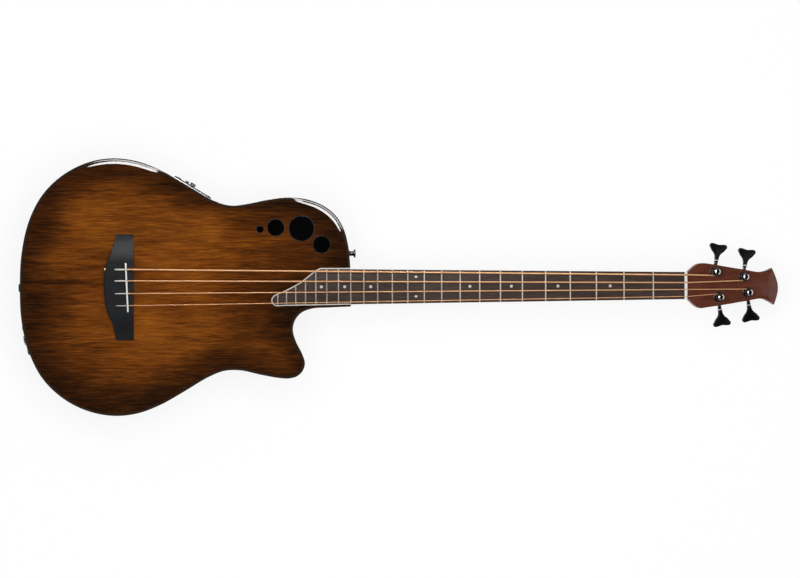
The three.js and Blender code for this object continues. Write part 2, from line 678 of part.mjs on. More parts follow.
function makeBraces() {
  const z = [UNDER_TOP_Z - BRACE_HEIGHT, UNDER_TOP_Z];
  const acrossX = BRACE_ACROSS_SHARE * BODY_LENGTH;
  const spacing = BRACE_FAN_SPACING_SHARE * BODY_WIDTH;
  const across = box(around(acrossX, BRACE_WIDTH), around(0, BRACE_SPAN_SHARE * BODY_WIDTH), z);
  const middle = half(BRACE_FAN_COUNT - 1);
  const bars = Array.from({ length: BRACE_FAN_COUNT }, (_, bar) => {
    const start = new THREE.Vector2(acrossX, (bar - middle) * spacing);
    const end = new THREE.Vector2(
      BRACE_FAN_END_SHARE * BODY_LENGTH,
      start.y * BRACE_FAN_SPREAD_SHARE,
    );
    const length = start.distanceTo(end);
    return box([-length, 0], around(0, BRACE_WIDTH), z)
      .rotateZ(Math.atan2(start.y - end.y, start.x - end.x))
      .translate(start.x, start.y, 0);
  });
  return cut(join(across, ...bars), plateBox(SEAT_GAP), leadHole());
}

function makeNeckBlock() {
  const ceiling = UNDER_TOP_Z - LEDGE_THICKNESS - SEAT_GAP;
  const block = box([-BLOCK_LENGTH, 0], around(0, BLOCK_WIDTH), [ceiling - BLOCK_HEIGHT, ceiling]);
  return cut(common(block, insideBowl), ...neckBoltHoles());
}

const neckBoltHeights = [0, NECK_BOLT_SPACING].map((drop) => TOP_Z - NECK_BOLT_DEPTH - drop);
const NECK_BOLT_HEAD_X = -BLOCK_LENGTH - SEAT_GAP;

const neckBoltHoles = () => neckBoltHeights.map((z) => alongX(rod(
  NECK_BOLT_RADIUS + SEAT_GAP,
  NECK_BOLT_HEAD_X - OVERRUN,
  NECK_BOLT_HEAD_X + NECK_BOLT_LENGTH + OVERRUN,
  SMALL_SIDES,
)).translate(0, 0, z));

const makeNeckBolt = (z) => alongX(turned([
  [0, NECK_BOLT_HEAD_X - NECK_BOLT_HEAD_HEIGHT],
  [NECK_BOLT_HEAD_RADIUS, NECK_BOLT_HEAD_X - NECK_BOLT_HEAD_HEIGHT],
  [NECK_BOLT_HEAD_RADIUS, NECK_BOLT_HEAD_X],
  [NECK_BOLT_RADIUS, NECK_BOLT_HEAD_X],
  [NECK_BOLT_RADIUS, NECK_BOLT_HEAD_X + NECK_BOLT_LENGTH],
  [0, NECK_BOLT_HEAD_X + NECK_BOLT_LENGTH],
], SMALL_SIDES)).translate(0, 0, z);

// Neck

const boardHalfWidth = (x) => half(
  THREE.MathUtils.lerp(BOARD_JOINT_WIDTH, BOARD_NUT_WIDTH, x / NUT_X),
);
const camber = (y) => BOARD_RADIUS - Math.sqrt(BOARD_RADIUS ** 2 - y ** 2);

// One section of the neck: flat above, rounded below
function neckSection(x, halfWidth, depth, top, foot = 1) {
  return Array.from({ length: NECK_SECTION_STEPS + 1 }, (_, step) => {
    const angle = Math.PI * step / NECK_SECTION_STEPS;
    const across = Math.cos(angle);
    const down = Math.sin(angle) ** (2 / NECK_FULLNESS);
    const width = halfWidth * THREE.MathUtils.lerp(1, foot, down);
    const y = width * Math.sign(across) * Math.abs(across) ** (2 / NECK_FULLNESS);
    return new THREE.Vector3(x, -y, top - depth * down);
  });
}

function neckDepth(x) {
  const depth = THREE.MathUtils.lerp(NECK_DEPTH_JOINT, NECK_DEPTH_NUT, x / NUT_X);
  const heel = Math.max(0, 1 - x / HEEL_LENGTH);
  return depth + HEEL_DROP * Math.min(1, heel) ** 2;
}

function headOutline() {
  const points = headOutlineShares.map(([x, y]) => (
    new THREE.Vector2(x * HEAD_LENGTH, y * half(HEAD_WIDTH))
  ));
  return points.reverse();
}

function makeNeck() {
  const heelStations = Array.from({ length: HEEL_STEPS }, (_, step) => (
    HEEL_LENGTH * step / HEEL_STEPS
  ));
  const shaftStations = Array.from({ length: NECK_STEPS + 1 }, (_, step) => (
    THREE.MathUtils.lerp(HEEL_LENGTH, NUT_END_X, step / NECK_STEPS)
  ));
  const stations = [-HEEL_REACH, ...heelStations, ...shaftStations];
  const sections = stations.map((x) => {
    const within = THREE.MathUtils.clamp(x, 0, NUT_X);
    const heel = Math.max(0, 1 - within / HEEL_LENGTH);
    const foot = THREE.MathUtils.lerp(1, HEEL_FOOT_SHARE, heel);
    return neckSection(x, boardHalfWidth(within), neckDepth(within), TOP_Z, foot);
  });
  const drop = Math.sin(HEAD_TILT) * HEAD_ROOT_REACH;
  const root = neckSection(
    HEAD_X + HEAD_ROOT_REACH,
    half(BOARD_NUT_WIDTH),
    HEAD_THICKNESS - SEAT_GAP * 2,
    TOP_Z - drop - SEAT_GAP * 2,
  );
  const shaft = loft([...sections, root]);
  const head = inFrame(prism(headOutline(), -HEAD_THICKNESS, 0), HEAD_FRAME);
  const bushingHoles = strings.map(({ post }) => inFrame(
    rod(BUSHING_SLEEVE_RADIUS + SEAT_GAP, -HEAD_THICKNESS - OVERRUN, OVERRUN, TUNER_SIDES)
      .translate(post.x, post.y, 0),
    HEAD_FRAME,
  ));
  const aboveHead = inFrame(
    box([0, HEAD_LENGTH], around(0, HEAD_WIDTH), [0, HEAD_THICKNESS]),
    HEAD_FRAME,
  );
  const channel = box(
    [TRUSS_ROD_END_GAP - SEAT_GAP, NUT_X - TRUSS_ROD_END_GAP + SEAT_GAP],
    around(0, (TRUSS_ROD_RADIUS + SEAT_GAP) * 2),
    [TOP_Z - TRUSS_ROD_RADIUS * 2 - SEAT_GAP * 2, TOP_Z + OVERRUN],
  );
  return cut(
    join(cut(shaft, aboveHead), head),
    outsideBowl,
    channel,
    ...bushingHoles,
    ...neckBoltHoles(),
  );
}

const makeTrussRod = () => alongX(
  rod(TRUSS_ROD_RADIUS, TRUSS_ROD_END_GAP, NUT_X - TRUSS_ROD_END_GAP, SMALL_SIDES),
).translate(0, 0, TOP_Z - TRUSS_ROD_RADIUS - SEAT_GAP);

// Fretboard, its border and frets

const extensionOutline = () => {
  const points = extensionShares.map(([x, y]) => (
    new THREE.Vector2(x * EXTENSION_LENGTH, y * half(EXTENSION_WIDTH))
  ));
  const jointEdge = BORDER_WIDTH + OVERRUN;
  points[0].x = jointEdge;
  points[points.length - 1].x = jointEdge;
  return points;
};

const overBody = (floor, ceiling) => box(
  [-EXTENSION_LENGTH - OVERRUN, 0],
  around(0, EXTENSION_WIDTH * 2),
  [floor, ceiling],
);

function boardPrism(margin, floor, ceiling) {
  const outline = inset(extensionOutline(), BORDER_WIDTH + SEAT_GAP + margin);
  const extension = prism(outline, floor, ceiling);
  const neckPart = prism([
    new THREE.Vector2(0, -boardHalfWidth(0) + margin),
    new THREE.Vector2(NUT_X - margin, -boardHalfWidth(NUT_X) + margin),
    new THREE.Vector2(NUT_X - margin, boardHalfWidth(NUT_X) - margin),
    new THREE.Vector2(0, boardHalfWidth(0) - margin),
  ], floor, ceiling);
  return join(common(extension, overBody(floor, ceiling)), neckPart);
}

// The space under the board's rounded face, along its whole length
function camberForm(lift, steps = SADDLE_ARCH_STEPS) {
  const reach = half(EXTENSION_WIDTH);
  const ring = (x) => {
    const arch = Array.from({ length: steps + 1 }, (_, step) => {
      const y = THREE.MathUtils.lerp(-reach, reach, step / steps);
      return new THREE.Vector3(x, y, BOARD_TOP_Z + lift - camber(y));
    });
    return [
      ...arch.reverse(),
      new THREE.Vector3(x, -reach, BOARD_FLOOR_Z),
      new THREE.Vector3(x, reach, BOARD_FLOOR_Z),
    ];
  };
  return loft([ring(-EXTENSION_LENGTH - OVERRUN), ring(NUT_X + OVERRUN)]);
}

const fretX = (fret) => NUT_X - fretDistance(fret);
const fretNumbers = Array.from({ length: FRET_COUNT }, (_, index) => index + 1);

function fretLegs(margin) {
  const legs = fretNumbers.map((fret) => box(
    around(fretX(fret), FRET_LEG_THICKNESS + margin * 2),
    around(-FRET_RAIL_OFFSET, FRET_LEG_WIDTH + margin * 2),
    [BOARD_FLOOR_Z, BOARD_TOP_Z + SEAT_GAP],
  ));
  const rail = box(
    [fretX(FRET_COUNT) - FRET_LEG_THICKNESS - margin, fretX(1) + FRET_LEG_THICKNESS + margin],
    around(-FRET_RAIL_OFFSET, FRET_LEG_WIDTH + margin * 2),
    [BOARD_FLOOR_Z - margin, BOARD_FLOOR_Z + FRET_RAIL_HEIGHT + margin],
  );
  return join(rail, ...legs);
}

function makeFretboard() {
  return cut(common(boardPrism(0, BOARD_FLOOR_Z, BOARD_TOP_Z), camberForm(0)), fretLegs(SEAT_GAP));
}

function fretCrown(x) {
  const floor = BOARD_TOP_Z + SEAT_GAP;
  const reach = half(EXTENSION_WIDTH);
  const shoulder = FRET_SHOULDER_SHARE;
  const profile = [
    [-half(FRET_WIDTH), 0], [half(FRET_WIDTH), 0],
    [half(FRET_WIDTH) * shoulder, FRET_HEIGHT * shoulder], [0, FRET_HEIGHT - SEAT_GAP],
    [-half(FRET_WIDTH) * shoulder, FRET_HEIGHT * shoulder],
  ];
  const rings = Array.from({ length: FRET_ARCH_STEPS + 1 }, (_, step) => {
    const y = THREE.MathUtils.lerp(reach, -reach, step / FRET_ARCH_STEPS);
    return profile.map(([along, up]) => new THREE.Vector3(x + along, y, floor + up - camber(y)));
  });
  return loft(rings.reverse().map((ring) => ring.reverse()));
}

function makeFrets() {
  const crowns = fretNumbers.map((fret) => fretCrown(fretX(fret)));
  const crownSpace = boardPrism(FRET_INSET, BOARD_FLOOR_Z, BOARD_TOP_Z + OVERRUN);
  return join(common(join(...crowns), crownSpace), fretLegs(0));
}

function makeBorder() {
  const outer = prism(extensionOutline(), BOARD_FLOOR_Z, BOARD_TOP_Z);
  const inner = prism(
    inset(extensionOutline(), BORDER_WIDTH),
    BOARD_FLOOR_Z - OVERRUN,
    BOARD_TOP_Z + OVERRUN,
  );
  return common(cut(outer, inner), overBody(BOARD_FLOOR_Z, BOARD_TOP_Z), camberForm(0));
}

// Bridge, saddle, pickup and nut

const saddleX = (y) => BRIDGE_X - Math.tan(SADDLE_SLANT) * y;
const saddleFrame = new THREE.Matrix4()
  .makeRotationZ(SADDLE_SLANT)
  .setPosition(BRIDGE_X, 0, BRIDGE_FLOOR_Z);

const STRING_HOLE_Z = BRIDGE_FLOOR_Z + STRING_HOLE_HEIGHT;
const heightOverSaddle = ({ radius, saddleY }) => (
  TOP_Z + STRING_SADDLE_HEIGHT - camber(saddleY) + radius
);

function stringPath(string) {
  const { radius, saddleY, nutY, post } = string;
  const saddle = saddleX(saddleY);
  const overNut = BOARD_TOP_Z - camber(nutY) + STRING_NUT_CLEAR + radius;
  const ball = saddle - BALL_BEHIND_SADDLE;
  const straight = [
    new THREE.Vector3(ball, saddleY, STRING_HOLE_Z),
    new THREE.Vector3(ball + BALL_LENGTH, saddleY, STRING_HOLE_Z),
    new THREE.Vector3(ball + BALL_LENGTH + radius, saddleY, STRING_HOLE_Z),
    new THREE.Vector3(saddle - STRING_BEND_BEHIND_SADDLE, saddleY, STRING_HOLE_Z),
    new THREE.Vector3(saddle, saddleY, heightOverSaddle(string)),
    new THREE.Vector3(NUT_X, nutY, overNut),
    new THREE.Vector3(NUT_END_X, nutY, overNut - SEAT_GAP),
  ];
  return [...straight, ...wrapPath(radius, post)];
}

// Loops round a post, climbing from near the head's face to the slot in the post's top
function wrapPath(radius, { x, y, side, turnCount }) {
  const reach = POST_RADIUS + RUN_GAP + radius;
  const pitch = radius * 2 + WRAP_GAP;
  const steps = Math.round(turnCount * WRAP_STEPS);
  return Array.from({ length: steps + 1 }, (_, step) => {
    const loops = step / WRAP_STEPS;
    const angle = side * (2 * Math.PI * loops - half(Math.PI));
    return new THREE.Vector3(
      x + reach * Math.cos(angle),
      y + reach * Math.sin(angle),
      WRAP_START_HEIGHT + pitch * loops,
    ).applyMatrix4(HEAD_FRAME);
  });
}

function stringSweep(string, margin) {
  const path = stringPath(string);
  const thin = string.radius + margin;
  const radii = path.map((_, index) => (index < 2 ? BALL_RADIUS + margin : thin));
  return sweep(path, radii, STRING_SIDES);
}

// The least gap between one loop of a string and the next, measured on its points
function leastWrapGap(string) {
  const loops = wrapPath(string.radius, string.post);
  const gaps = loops.flatMap((point, index) => loops
    .slice(index + half(WRAP_STEPS))
    .map((other) => point.distanceTo(other) - string.radius * 2));
  return Math.min(...gaps);
}

// The way that a string takes through the bridge, with room round it
function stringCutter(string) {
  const { radius, saddleY } = string;
  const saddle = saddleX(saddleY);
  const overSaddle = heightOverSaddle(string);
  const ballEnd = saddle - BALL_BEHIND_SADDLE + BALL_LENGTH + SEAT_GAP;
  const path = [
    new THREE.Vector3(saddle - BALL_BEHIND_SADDLE - OVERRUN, saddleY, STRING_HOLE_Z),
    new THREE.Vector3(ballEnd, saddleY, STRING_HOLE_Z),
    new THREE.Vector3(ballEnd + radius, saddleY, STRING_HOLE_Z),
    new THREE.Vector3(saddle - STRING_BEND_BEHIND_SADDLE, saddleY, STRING_HOLE_Z),
    new THREE.Vector3(saddle, saddleY, overSaddle),
    new THREE.Vector3(saddle + BRIDGE_FRONT + OVERRUN, saddleY, overSaddle),
  ];
  const radii = path.map((_, index) => (index < 2 ? BALL_RADIUS : radius) + SEAT_GAP * 2);
  return sweep(path, radii, SMALL_SIDES);
}

function makeBridge() {
  const back = bridgeBackShares.map(([x, y]) => (
    new THREE.Vector2(BRIDGE_X - x * BRIDGE_BACK, y * half(BRIDGE_WIDTH))
  ));
  const [, frontTopShare] = bridgeBackShares[0];
  const [, frontFootShare] = bridgeBackShares[bridgeBackShares.length - 1];
  const front = [
    new THREE.Vector2(BRIDGE_X + BRIDGE_FRONT, frontFootShare * half(BRIDGE_WIDTH)),
    new THREE.Vector2(BRIDGE_X + BRIDGE_FRONT, frontTopShare * half(BRIDGE_WIDTH)),
  ];
  const outline = [...back, ...front];
  const shoulder = BRIDGE_FLOOR_Z + BRIDGE_HEIGHT - BRIDGE_BEVEL;
  const ring = (margin, z) => inset(outline, margin)
    .map((point) => new THREE.Vector3(point.x, point.y, z));
  const form = loft([
    ring(0, BRIDGE_FLOOR_Z), ring(0, shoulder), ring(BRIDGE_BEVEL, BRIDGE_FLOOR_Z + BRIDGE_HEIGHT),
  ]);
  const slot = box(
    around(0, SADDLE_THICKNESS + SEAT_GAP * 2),
    around(0, SADDLE_LENGTH + SEAT_GAP * 2),
    [SADDLE_SLOT_FLOOR, BRIDGE_HEIGHT + OVERRUN],
  );
  return cut(form, inFrame(slot, saddleFrame), ...strings.map(stringCutter), leadHole());
}

const leadHole = () => rod(
  LEAD_RADIUS + SEAT_GAP,
  BOWL_DEPTH - BRACE_HEIGHT - OVERRUN,
  BRIDGE_FLOOR_Z + SADDLE_SLOT_FLOOR + SEAT_GAP,
  SMALL_SIDES,
).translate(saddleX(LEAD_Y), LEAD_Y, 0);

function makeSaddle(stringForms) {
  const floor = SADDLE_SLOT_FLOOR + SEAT_GAP + PICKUP_HEIGHT + SEAT_GAP;
  const reach = half(SADDLE_LENGTH);
  const top = STRING_SADDLE_HEIGHT - SEAT_GAP;
  const shape = new THREE.Shape();
  shape.moveTo(-reach, floor);
  shape.lineTo(reach, floor);
  for (let step = 0; step <= SADDLE_ARCH_STEPS; step += 1) {
    const y = THREE.MathUtils.lerp(reach, -reach, step / SADDLE_ARCH_STEPS);
    shape.lineTo(y, top - camber(y));
  }
  const plate = new THREE.ExtrudeGeometry(shape, { depth: SADDLE_THICKNESS, bevelEnabled: false })
    .rotateX(half(Math.PI)).rotateZ(half(Math.PI)).translate(-half(SADDLE_THICKNESS), 0, 0);
  return cut(inFrame(plate, saddleFrame), ...stringForms);
}

const makePickup = () => inFrame(box(
  around(0, PICKUP_THICKNESS),
  around(0, SADDLE_LENGTH - SEAT_GAP * 2),
  [SADDLE_SLOT_FLOOR + SEAT_GAP, SADDLE_SLOT_FLOOR + SEAT_GAP + PICKUP_HEIGHT],
), saddleFrame);

function makeNut(stringForms) {
  const height = BOARD_TOP_Z + STRING_NUT_CLEAR + STRING_RADIUS;
  const blank = box(
    [NUT_X + SEAT_GAP, NUT_END_X],
    around(0, NUT_WIDTH),
    [TOP_Z + SEAT_GAP, height],
  );
  return cut(blank, ...stringForms);
}

// Tuners

const KEY_Z = -HEAD_THICKNESS - SEAT_GAP - KEY_AXIS_DEPTH;
const tunerFrame = ({ x, y, side }) => new THREE.Matrix4()
  .makeRotationZ(side > 0 ? -KEY_LEAN_BASS : Math.PI + KEY_LEAN_TREBLE)
  .setPosition(x, y, 0);

function makeBushing() {
  const bore = POST_RADIUS + RUN_GAP;
  const floor = -HEAD_THICKNESS + SEAT_GAP;
  return turned([
    [bore, floor], [BUSHING_SLEEVE_RADIUS, floor], [BUSHING_SLEEVE_RADIUS, SEAT_GAP],
    [BUSHING_FLANGE_RADIUS, SEAT_GAP], [BUSHING_FLANGE_RADIUS, SEAT_GAP + BUSHING_FLANGE_HEIGHT],
    [bore, SEAT_GAP + BUSHING_FLANGE_HEIGHT], [bore, floor],
  ], TUNER_SIDES);
}

function makePost() {
  const gearTop = -HEAD_THICKNESS - SEAT_GAP - GEAR_DROP;
  const body = turned([
    [0, gearTop - GEAR_THICKNESS], [GEAR_RADIUS, gearTop - GEAR_THICKNESS], [GEAR_RADIUS, gearTop],
    [POST_RADIUS, gearTop], [POST_RADIUS, POST_HEIGHT - POST_CAP_HEIGHT],
    [POST_CAP_RADIUS, POST_HEIGHT - POST_CAP_HEIGHT], [POST_CAP_RADIUS, POST_HEIGHT], [0, POST_HEIGHT],
  ], TUNER_SIDES);
  const slot = box(
    around(0, POST_SLOT_WIDTH),
    around(0, POST_CAP_RADIUS * 2 + OVERRUN),
    [POST_HEIGHT - POST_SLOT_DEPTH, POST_HEIGHT + OVERRUN],
  );
  return cut(body, slot);
}

function makeHousing(side) {
  const top = -HEAD_THICKNESS - SEAT_GAP;
  const inner = (GEAR_RADIUS + RUN_GAP * 2) * 2;
  const shell = box(
    around(0, inner + HOUSING_WALL * 2),
    around(0, HOUSING_LENGTH),
    [top - HOUSING_DEPTH, top],
  );
  const hollow = box(
    around(0, inner),
    around(0, HOUSING_LENGTH - HOUSING_WALL * 2),
    [top - HOUSING_DEPTH + HOUSING_WALL, top + OVERRUN],
  );
  const barrelStart = half(HOUSING_LENGTH) - HOUSING_WALL;
  const barrel = alongY(rod(BARREL_RADIUS, barrelStart, COLLAR_REACH - SEAT_GAP, SMALL_SIDES))
    .translate(side * KEY_OFFSET, 0, KEY_Z);
  const bore = alongY(rod(
    KEY_SHAFT_RADIUS + RUN_GAP,
    barrelStart - OVERRUN,
    COLLAR_REACH + OVERRUN,
    SMALL_SIDES,
  )).translate(side * KEY_OFFSET, 0, KEY_Z);
  return cut(join(cut(shell, hollow), barrel), bore);
}

function keyHeadShape() {
  const lobeX = half(KEY_WIDTH) - KEY_LOBE_RADIUS;
  const lobeY = KEY_REACH - KEY_LOBE_RADIUS;
  const start = COLLAR_REACH + COLLAR_LENGTH;
  const neckEnd = start + KEY_NECK_LENGTH;
  const undercut = half(lobeX);
  const flank = lobeX * KEY_FLANK_SHARE;
  const underLobe = lobeY - KEY_LOBE_RADIUS;
  const shape = new THREE.Shape();
  shape.moveTo(-KEY_NECK_RADIUS, start);
  shape.lineTo(KEY_NECK_RADIUS, start);
  shape.quadraticCurveTo(KEY_NECK_RADIUS, neckEnd, undercut, underLobe - KEY_LOBE_RADIUS);
  shape.quadraticCurveTo(flank, underLobe, lobeX, underLobe);
  shape.absarc(lobeX, lobeY, KEY_LOBE_RADIUS, -half(Math.PI), half(Math.PI), false);
  shape.quadraticCurveTo(0, KEY_REACH - KEY_DIP * 2, -lobeX, KEY_REACH);
  shape.absarc(-lobeX, lobeY, KEY_LOBE_RADIUS, half(Math.PI), half(Math.PI) * 3, false);
  shape.quadraticCurveTo(-flank, underLobe, -undercut, underLobe - KEY_LOBE_RADIUS);
  shape.quadraticCurveTo(-KEY_NECK_RADIUS, neckEnd, -KEY_NECK_RADIUS, start);
  return shape;
}

function makeKey(side) {
  const bevel = KEY_THICKNESS * KEY_BEVEL_SHARE;
  const spread = bevel * KEY_BEVEL_SPREAD_SHARE;
  const head = new THREE.ExtrudeGeometry(keyHeadShape(), {
    depth: KEY_THICKNESS - bevel * 2,
    bevelEnabled: true,
    bevelThickness: bevel,
    bevelSize: spread,
    bevelOffset: -spread,
    bevelSegments: 1,
    curveSegments: 3,
  }).translate(0, 0, bevel - half(KEY_THICKNESS));
  const start = COLLAR_REACH + COLLAR_LENGTH;
  const shaft = alongY(turned([
    [0, -half(WORM_LENGTH)], [WORM_RADIUS, -half(WORM_LENGTH)],
    [WORM_RADIUS, half(WORM_LENGTH)], [KEY_SHAFT_RADIUS, half(WORM_LENGTH)],
    [KEY_SHAFT_RADIUS, COLLAR_REACH], [COLLAR_RADIUS, COLLAR_REACH],
    [COLLAR_RADIUS, start], [KEY_SHAFT_RADIUS, start],
    [KEY_SHAFT_RADIUS, start + KEY_NECK_LENGTH], [0, start + KEY_NECK_LENGTH],
  ], SMALL_SIDES));
  return join(shaft, head).translate(side * KEY_OFFSET, 0, KEY_Z);
}

// Output jack

const socketTop = JACK_NUT_THICKNESS + SEAT_GAP;

function makeJackPlate() {
  const block = box(
    around(0, JACK_PLATE_LENGTH),
    around(0, JACK_PLATE_HEIGHT),
    [-JACK_PLATE_BLOCK, 0],
  );
  const bore = rod(JACK_BARREL_RADIUS + SEAT_GAP, -JACK_LENGTH, OVERRUN);
  return cut(inFrame(block, JACK_FRAME), outsideBowl, inFrame(bore, JACK_FRAME));
}

const makeJack = () => inFrame(turned([
  [0, -JACK_LENGTH], [JACK_BARREL_RADIUS, -JACK_LENGTH], [JACK_BARREL_RADIUS, SEAT_GAP],
  [JACK_NUT_RADIUS, SEAT_GAP], [JACK_NUT_RADIUS, socketTop], [JACK_SOCKET_RADIUS, socketTop],
  [JACK_SOCKET_RADIUS, JACK_END_WALL - JACK_LENGTH], [0, JACK_END_WALL - JACK_LENGTH],
]), JACK_FRAME);

// Preamp. Its frame has its origin in the middle of the panel's outer face.

const sliderHeights = Array.from({ length: SLIDER_COUNT }, (_, slider) => (
  (half(SLIDER_COUNT - 1) - slider) * SLIDER_SPACING - SLIDERS_DOWN
));

function makePreampPanel() {
  const block = box(around(0, PREAMP_LENGTH), around(0, PREAMP_HEIGHT), [-PREAMP_BLOCK, 0]);
  const hollow = box(
    around(0, PREAMP_LENGTH - PREAMP_SKIRT * 2),
    around(0, PREAMP_HEIGHT - PREAMP_SKIRT * 2),
    [-PREAMP_BLOCK - OVERRUN, -PREAMP_PLATE],
  );
  const through = [-PREAMP_BLOCK, OVERRUN];
  const knobHole = rod(STEM_RADIUS + RUN_GAP, ...through, SMALL_SIDES)
    .translate(-KNOB_ALONG, KNOB_UP, 0);
  const buttonHole = rod(BUTTON_CAP_RADIUS + RUN_GAP, ...through, SMALL_SIDES)
    .translate(-BUTTON_ALONG, 0, 0);
  const slots = sliderHeights.map((y) => box(
    around(-SLIDER_ALONG, SLIDER_STEM + (SLIDER_TRAVEL + RUN_GAP) * 2),
    around(y, SLIDER_STEM + RUN_GAP * 2),
    through,
  ));
  const window = box(
    around(-DISPLAY_ALONG, DISPLAY_LENGTH + SEAT_GAP * 2),
    around(0, DISPLAY_HEIGHT + SEAT_GAP * 2),
    [-DISPLAY_THICKNESS - SEAT_GAP, OVERRUN],
  );
  const panel = cut(block, hollow, knobHole, buttonHole, window, ...slots);
  return cut(inFrame(panel, PREAMP_FRAME), outsideBowl);
}

function makeChassis() {
  const top = -PREAMP_PLATE - SEAT_GAP;
  const shell = box(
    around(0, CHASSIS_LENGTH),
    around(0, CHASSIS_HEIGHT),
    [top - CHASSIS_DEPTH, top],
  );
  const hollow = box(
    around(0, CHASSIS_LENGTH - CHASSIS_WALL * 2),
    around(0, CHASSIS_HEIGHT - CHASSIS_WALL * 2),
    [top - CHASSIS_DEPTH + CHASSIS_WALL, top + OVERRUN],
  );
  return inFrame(cut(shell, hollow), PREAMP_FRAME);
}

function makeBattery() {
  const floor = -PREAMP_PLATE - SEAT_GAP - CHASSIS_DEPTH + CHASSIS_WALL + SEAT_GAP;
  return inFrame(
    box(around(0, BATTERY_LENGTH), around(0, BATTERY_HEIGHT), [floor, floor + BATTERY_DEPTH]),
    PREAMP_FRAME,
  );
}

const makeKnob = () => turned([
  [0, -STEM_LENGTH], [STEM_RADIUS, -STEM_LENGTH], [STEM_RADIUS, SEAT_GAP],
  [KNOB_RADIUS, SEAT_GAP], [KNOB_RADIUS * KNOB_TAPER_SHARE, KNOB_PROUD], [0, KNOB_PROUD],
]);

const makeSlider = () => join(
  box(around(0, SLIDER_CAP_LENGTH), around(0, SLIDER_CAP_HEIGHT), [SEAT_GAP, SLIDER_PROUD]),
  box(around(0, SLIDER_STEM), around(0, SLIDER_STEM), [-STEM_LENGTH, SEAT_GAP * 2]),
);

const makeTunerButton = () => rod(
  BUTTON_CAP_RADIUS,
  BUTTON_TRAVEL - PREAMP_PLATE,
  BUTTON_PROUD,
  SMALL_SIDES,
);

const makeDisplay = () => box(
  around(-DISPLAY_ALONG, DISPLAY_LENGTH),
  around(0, DISPLAY_HEIGHT),
  [-DISPLAY_THICKNESS, -SEAT_GAP],
);

// Leads inside the body

const PREAMP_BACK = -PREAMP_PLATE - SEAT_GAP * 2 - CHASSIS_DEPTH;
const LEAD_RUN = LEAD_RADIUS * 3; // straight length at a lead's end

// The last two points of a lead: its straight run, and its end square to a face
const leadEnd = (x, frame, z) => [z - LEAD_RUN, z]
  .map((height) => new THREE.Vector3(x, 0, height).applyMatrix4(frame));

const leadWay = (shares) => shares.map(([x, y, z]) => (
  new THREE.Vector3(x * BODY_LENGTH, y * HALF_BODY, z * BOWL_DEPTH)
));

function makePickupLead() {
  const x = saddleX(LEAD_Y);
  const path = [
    new THREE.Vector3(x, LEAD_Y, BRIDGE_FLOOR_Z + SADDLE_SLOT_FLOOR),
    new THREE.Vector3(x, LEAD_Y, BOWL_DEPTH - BRACE_HEIGHT - OVERRUN),
    ...leadWay(pickupLeadShares),
    ...leadEnd(-half(BATTERY_HEIGHT), PREAMP_FRAME, PREAMP_BACK),
  ];
  return sweep(path, path.map(() => LEAD_RADIUS), LEAD_SIDES);
}

function makeOutputLead() {
  const path = [
    ...leadEnd(0, JACK_FRAME, -JACK_LENGTH - SEAT_GAP).reverse(),
    ...leadWay(outputLeadShares),
    ...leadEnd(half(BATTERY_HEIGHT), PREAMP_FRAME, PREAMP_BACK),
  ];
  return sweep(path, path.map(() => LEAD_RADIUS), LEAD_SIDES);
}

// Assembly

const bass = new THREE.Group();
bass.position.x = REST_TO_JOINT;
const head = new THREE.Group();
head.applyMatrix4(HEAD_FRAME);
const preamp = new THREE.Group();
preamp.applyMatrix4(PREAMP_FRAME);
bass.add(head, preamp);

function add(name, geometry, material, parent = bass) {
  const mesh = new THREE.Mesh(geometry, material);
  mesh.name = name;
  parent.add(mesh);
  return mesh;
}

add('bowl', makeBowl(), materials.shell);
add('soundboard', makeTop(), materials.top);
add('top_edge', makeEdge(), materials.edge);
soundHoles.forEach((hole, index) => {
  add(`sound_hole_ring_${index + 1}`, makeSoundHoleRing(hole), materials.boardWood);
});
add('braces', makeBraces(), materials.spruce);
add('bridge_plate', cut(plateBox(0), leadHole()), materials.spruce);
add('neck_block', makeNeckBlock(), materials.spruce);
neckBoltHeights.forEach((z, index) => add(`neck_bolt_${index + 1}`, makeNeckBolt(z), materials.steel));
add('neck', makeNeck(), materials.neckWood);
add('truss_rod', makeTrussRod(), materials.steel);
add('fretboard', makeFretboard(), materials.boardWood);
add('fretboard_border', makeBorder(), materials.bone);
add('frets', makeFrets(), materials.fretMetal);
const stringForms = strings.map((string) => stringSweep(string, SEAT_GAP));
add('nut', makeNut(stringForms), materials.bone);
add('bridge', makeBridge(), materials.bridgeWood);
add('saddle', makeSaddle(stringForms), materials.bone);
add('saddle_pickup', makePickup(), materials.bronze);

strings.forEach((string) => {
  add(`string_${string.name}`, stringSweep(string, 0), materials.bronze);
  console.log(`string ${string.name}: least gap to itself ${leastWrapGap(string).toFixed(2)} mm`);
  const place = new THREE.Group();
  place.applyMatrix4(tunerFrame(string.post));
  head.add(place);
  add(`tuner_bushing_${string.name}`, makeBushing(), materials.blackMetal, place);
  add(`tuner_post_${string.name}`, makePost(), materials.blackMetal, place);
  add(`tuner_housing_${string.name}`, makeHousing(string.post.side), materials.blackMetal, place);
  add(`tuner_key_${string.name}`, makeKey(string.post.side), materials.blackMetal, place);
});

